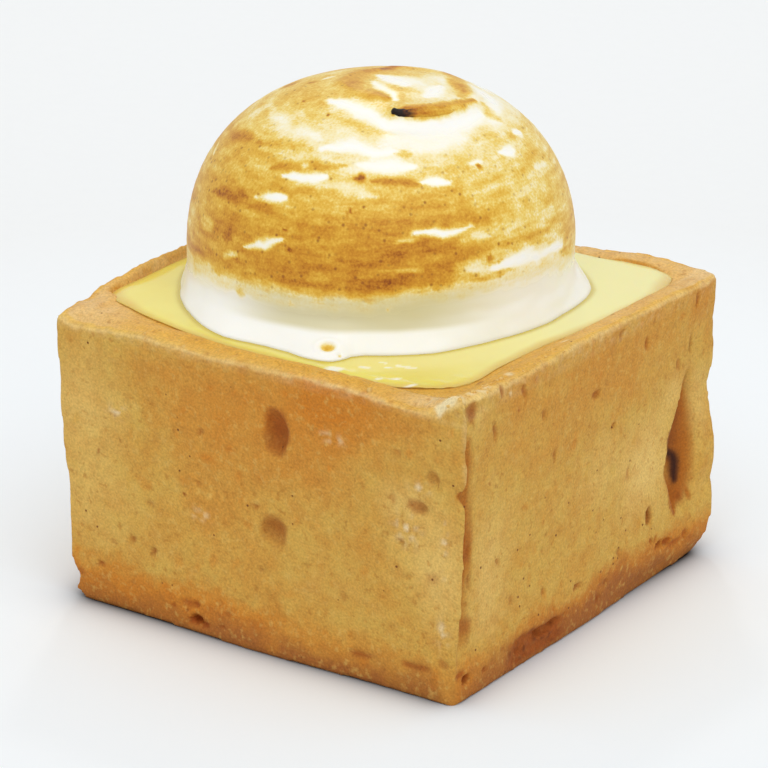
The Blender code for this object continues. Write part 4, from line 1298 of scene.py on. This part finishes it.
# %% [markdown]
# The brown is painted as a value from 0, white, to 1, nearly burnt. A general tone comes first, deep
# near the equator and paler above it and to the right.

# %% Even brown of the dome
TONES = (  # change of the brown, turn in degrees and its half width, height and its half width
    (-0.27, -58, 32, 59.8, 3.2), (-0.12, -95, 40, 60.5, 3.2), (0.05, -40, 40, 48.6, 3.0),
    (-0.06, -105, 30, 49, 5), (0.06, -118, 25, 54.5, 3.5), (0.06, -42, 18, 54, 4),
    (0.07, -78, 25, 57.8, 1.8), (-0.09, -150, 22, 53, 5), (-0.10, -25, 20, 60.5, 2.4),
    (-0.08, -8, 16, 52.5, 3.5), (-0.10, -134, 8, 48.5, 4), (0.06, -33, 10, 48.6, 1.8),
)

turn = np.degrees(np.arctan2(smooth_dome[:, 1] - DOME_CENTRE[1], smooth_dome[:, 0] - DOME_CENTRE[0]))
height = smooth_dome[:, 2]
ragged = np.stack([lumps(smooth_dome, (2.2, 2.2, 1.1), seed) for seed in (41, 42, 43)], axis=1)
ragged += 0.5 * np.stack([lumps(smooth_dome, (0.9, 0.9, 0.6), seed) for seed in (44, 45, 46)], axis=1)
bent = smooth_dome + 0.4 * ragged
right_side = step(-45, 10, turn) * step(80, 40, turn)
tone = 0.55 + 0.13 * step(57, 50, height) - 0.17 * right_side
tone -= (0.12 + 0.10 * right_side) * step(59, 62.5, height)
for change, middle, half_turn, level, half_height in TONES:
    tone += change * bump_at(middle, half_turn, turn) * bump_at(level, half_height, height)
tone += 0.13 * lumps(smooth_dome, (9, 9, 1.6), 47) + 0.08 * lumps(smooth_dome, (3, 3, 0.8), 48)
print("brown before the strokes:", round(float(tone.min()), 2), "to", round(float(tone.max()), 2))

# %% [markdown]
# A torch held close leaves strokes. White licks take brown away where it passed quickly, and darker
# ones add it where it stayed. Each is a line on the dome with a half width. On the side that faces
# away they fall at random, in the same style.

# %% Strokes of the torch
SIDE_STROKES = (  # change of tone, half width, then turn and height of each point of the line
    (-0.5, 0.8, (-126, 62.4), (-104, 61.9), (-84, 61.8)),
    (-1.0, 0.7, (-81, 61.1), (-69, 61.5), (-58, 61.0), (-48, 61.0)), (-0.9, 0.8, (-63, 59.8), (-43, 59.6)),
    (-1.3, 0.6, (-91, 57.9), (-83, 58.0), (-75, 58.5)), (-0.9, 0.4, (-86, 59.2), (-83, 59.3)),
    (-0.5, 0.8, (-79, 57.8), (-67, 57.7), (-57, 56.8)), (-1.0, 0.5, (-99, 55.2), (-87, 55.8)),
    (-0.6, 1.9, (-53, 62.1), (-15, 61.5)), (-1.1, 0.6, (14, 60.4), (20, 59.9)),
    (-1.1, 0.65, (-3, 59.4), (5, 59.0)), (-0.4, 0.7, (10, 56.7), (18, 56.0)),
    (-0.8, 0.45, (-20, 59.3), (-14, 59.2)), (-1.1, 0.55, (-41, 58.2), (-30, 57.8)),
    (-1.4, 0.5, (-45, 52.9), (-36, 52.6), (-26, 53.0)), (-0.45, 1.5, (-32, 48.3), (-10, 48.3), (12, 47.4)),
    (-1.3, 0.8, (-22, 47.4), (-11, 47.8), (12, 46.9)), (-0.35, 1.2, (-30, 51.6), (-8, 52.4), (10, 51.5)),
    (-0.6, 0.5, (-30, 48.1), (-22, 47.5)), (-0.9, 0.5, (-99, 49.4), (-92, 50.2), (-85, 51.1)),
    (-0.5, 0.3, (-107, 47.5), (-102, 48.1)), (-0.4, 0.7, (-123, 50.1), (-115, 50.2)),
    (-0.3, 0.9, (-142, 59.8), (-138, 62.5)), (-0.5, 0.3, (-137, 56.4), (-144, 57.4)),
    (-0.5, 0.3, (-52, 51.9), (-43, 52.5)), (-0.4, 0.35, (-50, 48.8), (-39, 48.5)),
    (-0.5, 0.45, (-27, 51.7), (-21, 51.4)), (-0.3, 0.7, (3, 49.3), (13, 48.9)),
    (0.3, 0.6, (-98, 58.4), (-82, 59.3), (-69, 59.7)), (0.6, 0.45, (-65, 58.6), (-61, 58.6)),
    (0.1, 1.4, (-123, 57.3), (-101, 59.0)), (0.3, 0.7, (-121, 53.9), (-103, 54.8)),
    (0.25, 0.6, (-114, 60.1), (-85, 60.9)), (0.2, 0.8, (-138, 59.1), (-119, 60.1)),
    (0.35, 0.55, (-58, 58.4), (-42, 58.1)), (0.3, 0.4, (-49, 60.8), (-43, 60.9)),
    (0.6, 0.33, (-18, 58.8), (-16, 58.7)), (0.08, 1.1, (-132, 48.2), (-100, 51.5)),
    (0.25, 0.5, (-109, 49.6), (-104, 49.7)), (0.1, 0.7, (-66, 46.1), (-41, 46.5)),
    (0.12, 0.6, (-129, 45.9), (-100, 47.3)), (1.0, 0.4, (-54, 43.5), (-52, 43.5)),
    (0.8, 0.45, (-40, 46.1), (-38, 46.2)), (0.5, 0.35, (-66, 55.2), (-65, 55.2)),
    (0.4, 0.3, (-86, 52.5), (-84, 52.5)), (0.5, 0.3, (-83, 50.2), (-82, 50.2)),
    (0.7, 0.25, (-82, 43.7), (-81, 43.6)), (0.4, 0.5, (-101, 43.4), (-98, 43.4)),
    (0.4, 0.35, (-23, 48.9), (-21, 48.8)), (0.4, 0.28, (-19, 48.3), (-18, 48.2)),
    (0.6, 0.35, (-28, 46.5), (-19, 46.8), (12, 45.5)),
)
TOP_STROKES = (  # the same with x and y, for the top
    (-0.7, 0.3, (-9.9, -1.3), (-8.8, 0.4)),
    (-1.0, 1.0, (-4.4, -7.1), (-1.8, -7.5), (0.6, -7.6), (3.1, -8.0), (5.2, -7.9)),
    (-1.3, 1.4, (5.2, -7.9), (8.1, -5.7), (10.0, -2.0), (10.7, 3.5)),
    (-0.9, 1.2, (-3.5, 2.3), (-1.7, 2.0), (0.8, 1.5)),
    (-0.8, 0.7, (-2.8, -0.3), (-0.3, -1.3), (1.6, -2.2), (2.9, -3.3)),
    (-0.9, 0.9, (5.0, 0.1), (4.7, 2.3), (4.2, 4.7)), (-0.35, 0.9, (2.0, -1.1), (3.9, -0.7), (5.8, -0.1)),
    (-0.6, 0.8, (4.4, 10.7), (6.5, 9.8), (9.4, 9.1)),
    (0.24, 1.2, (-5.0, 6.2), (-6.4, 3.0), (-6.4, 0.8), (-5.7, -1.7), (-4.0, -3.3), (-0.4, -4.1), (2.0, -3.7)),
    (0.3, 0.8, (-6.2, 5.3), (-5.3, 7.1), (-4.8, 8.7)),
    (0.3, 1.0, (-0.4, 12.3), (2.7, 10.1), (5.4, 7.9), (7.6, 4.1)),
    (0.25, 0.7, (2.7, 8.4), (4.7, 7.2), (6.5, 5.8)),
    (0.5, 0.8, (4.6, -6.1), (7.0, -4.0), (8.3, -1.3), (8.8, 5.0)), (0.3, 0.4, (-11.0, -2.3), (-10.1, -1.7)),
    (0.25, 0.8, (9.3, 6.5), (10.8, 5.6), (12.2, 5.8)), (0.5, 0.3, (-7.8, -7.9), (-7.7, -7.7)),
    (0.4, 0.3, (-2.7, -9.9), (-2.4, -9.7)),
)
FAR_STROKES = 34  # at random, on the side that faces away
LOW_MARK = 46.2  # marks below this height stand on white meringue


def torched(tone, change, line, half_width):
    """The tone after one more stroke, which adds brown, or takes it away if change is below 0."""
    touched = stroke(bent, line, half_width)
    return tone + change * touched if change > 0 else tone * (1 + max(change, -1) * touched)


for change, half_width, *line in SIDE_STROKES:
    tone = torched(tone, change, [on_side(*point) for point in line], half_width)
for change, half_width, *line in TOP_STROKES:
    tone = torched(tone, change, [on_top(*point) for point in line], half_width * 1.1)
for _ in range(FAR_STROKES):
    start = rng.uniform(45, 205)
    level, length = rng.uniform(47, 63), rng.uniform(4, 22)
    line = [on_side(start, level), on_side(start + length / 2, level + 0.4), on_side(start + length, level)]
    tone = torched(tone, rng.choice((-1.0, -0.7, 0.25, 0.35)), line, rng.uniform(0.35, 0.9))
print("strokes:", len(SIDE_STROKES) + len(TOP_STROKES) + FAR_STROKES)

# %% [markdown]
# The brown stops at a ragged line above the foot, because the torch was kept off the curd. Only a few
# small marks and the tan rims of the burst bubbles lie below that line.

# %% Toast
TOAST_FOOT = (  # turn in degrees, and the height where the brown ends
    (-180, 44.6), (-132, 44.2), (-116, 44.8), (-101, 45.0), (-91, 44.8), (-79, 44.5), (-67, 44.6),
    (-58, 44.6), (-50, 45.2), (-39, 46.0), (-29, 46.4), (-22, 46.4), (-11, 46.4), (0, 46.1), (19, 44.8),
    (60, 45.4), (120, 44.4), (180, 44.6),
)

toast_foot = np.interp(turn, *zip(*TOAST_FOOT))
edge = bent[:, 2] - toast_foot + 0.5 * lumps(smooth_dome, (1.6, 1.6, 3), 49)
covered = 0.35 * step(-2.6, -0.8, edge) + 0.65 * step(-0.8, 1.8, edge)
low_marks = sum(
    change * stroke(smooth_dome, [on_side(*point) for point in line], half_width)
    for change, half_width, *line in SIDE_STROKES
    if change >= 0.4 and line[0][1] < LOW_MARK
)
tan_bubbles = np.maximum(0.62 * step(1.1, 0.3, from_bubble), 0.3 * step(0.42, 0.22, from_small))
toast = np.maximum(np.clip(tone, 0, 0.95) * covered, np.maximum(0.8 * low_marks, tan_bubbles))
paint(meringue.data, "toast", toast)
# Painted shade on the band above the foot at the front, where the dome draws in, with the curd's yellow as a
# painted reflection and none where the dome is brown.
shade_above_foot = step(46.6, 45.0, height) * step(40.5, 41.3, height) * step(-110, -80, turn) * step(-10, -50, turn)
paint(meringue.data, "shade_above_foot", 0.9 * shade_above_foot * step(0.5, 0.1, toast))
paint(meringue.data, "char", np.zeros(len(smooth_dome)))
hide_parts("meringue")
print("mean brown of the dome:", round(float(toast.mean()), 2))

# %% [markdown]
# The beak is where the spoon came off. It's a small horn of its own that stands free of the dome and
# throws a shadow on the hollow under it. A circle extruded along a bent line, ring by ring, and
# narrowed as it goes gives that form.

# %% Burnt beak
BEAK = (  # place on its line in mm, and radius, from the tip backwards
    ((4.4, -6.3, 64.6), 0.25), ((4.8, -6.0, 64.3), 0.45), ((5.3, -5.65, 64.15), 0.55),
    ((5.9, -5.05, 64.05), 0.65), ((6.6, -4.2, 64.0), 0.7), ((7.5, -2.9, 63.9), 0.7),
    ((8.2, -1.5, 63.7), 0.65), ((8.7, 0.0, 63.45), 0.55), ((9.0, 1.8, 63.15), 0.45),
    ((9.0, 3.8, 62.8), 0.35), ((8.8, 5.2, 62.5), 0.25),
)
BEAK_SIDES = 20
BEAK_TOAST = ((0.0, 1.0), (0.15, 0.95), (0.26, 0.75), (0.45, 0.55), (1.0, 0.38))  # share of length, brown


def tube(line, sides):
    """A closed bar along a line of (place, radius), as a bmesh."""
    places = [Vector(place) for place, _ in line]
    made = bmesh.new()
    bmesh.ops.create_circle(made, segments=sides, radius=1, cap_ends=True)
    ring = list(made.edges)
    circle = [vert.co.copy() for vert in made.verts]
    verts = list(made.verts)
    for i, (place, (_, radius)) in enumerate(zip(places, line)):
        ahead = (places[min(i + 1, len(places) - 1)] - places[max(i - 1, 0)]).to_track_quat("Z", "Y")
        if i:
            new, ring = grow_ring(made, ring)
            verts = [next(e.other_vert(v) for e in v.link_edges if e.other_vert(v) in new) for v in verts]
        for vert, unit in zip(verts, circle):
            vert.co = place + ahead @ (unit * radius)
    bmesh.ops.holes_fill(made, edges=ring)
    bmesh.ops.recalc_face_normals(made, faces=made.faces)
    return made


bm = tube(BEAK, BEAK_SIDES)
bmesh.ops.subdivide_edges(bm, edges=bm.edges, cuts=2, use_grid_fill=True, smooth=1.0)
beak = new_piece("burnt_beak", bm, torched_meringue)
where = built_points(beak.data)
_, share = near_line(where, [place for place, _ in BEAK])
move_to(beak.data, where)
where += normals_of(beak.data) * (0.05 * lumps(where, 0.5, 51) + 0.05 * lumps(where, 1.3, 52))[:, None]
move_to(beak.data, where)
speckled = 0.10 * lumps(where, 0.35, 53)
paint(beak.data, "toast", np.interp(share, *zip(*BEAK_TOAST)) + speckled)
paint(beak.data, "char", step(0.24, 0.08, share + speckled))
paint(beak.data, "shade_above_foot", np.zeros(len(where)))
print("beak triangles:", triangles_in(beak))

# %% [markdown]
# ## Crumbs
# Where the ring scraped the rim, loose crumbs stay on the edge. Each is a ball of a few faces pushed
# out of round, and all of them are one mesh.

# %% Crumbs on the rim
RIGHT_CRUMBS = 26
FRONT_CRUMBS = 8
SMALLEST, LARGEST = 0.10, 0.34  # radius, mm
CRUMB_COATS = {"blush": 0.3, "gold": 0.5, "raw_and_highlight": 0.2}

facing = normals_of(crust.data)
where = points_of(crust.data)
along_right = (where[:, 0] > 28.3) & (where[:, 1] < -5) & (where[:, 2] > 37.8)
along_front = (where[:, 1] < -29.3) & (where[:, 2] > 37.0)
spots = np.flatnonzero(along_right & (facing[:, 2] > 0.2))
others = np.flatnonzero(along_front & (facing[:, 2] > 0.2))
chosen = [*rng.choice(spots, RIGHT_CRUMBS, replace=False), *rng.choice(others, FRONT_CRUMBS, replace=False)]
bm = bmesh.new()
for spot in chosen:
    size = min(SMALLEST + rng.exponential(0.08), LARGEST)
    squash = Vector(rng.uniform(0.7, 1.3, 3))
    for vert in bmesh.ops.create_icosphere(bm, subdivisions=2, radius=size)["verts"]:
        vert.co *= 1 + 0.5 * noise.noise(vert.co * 6 + Vector((float(spot), 0, 0)))
        # A crumb sits a little in the surface, so that none floats.
        vert.co = Vector((vert.co[i] * squash[i] + where[spot][i] for i in range(3)))
crumbs = new_piece("loose_crumbs", bm, shortcrust)
move_to(crumbs.data, built_points(crumbs.data))
for name in COATS:
    paint(crumbs.data, name, np.full(len(crumbs.data.vertices), CRUMB_COATS.get(name, 0)))
print("crumbs:", len(chosen))

# %% [markdown]
# ## Size
# Both boxes, the CAD model's and the visual model's, are printed side by side. The visual model
# has to stay in the CAD model's box.

# %% Sizes
visual_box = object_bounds()
for name, (low, high) in (("CAD", cad_box), ("visual", visual_box)):
    print(name, "mm:", [round(value / MM, 2) for value in (*low, *high)])
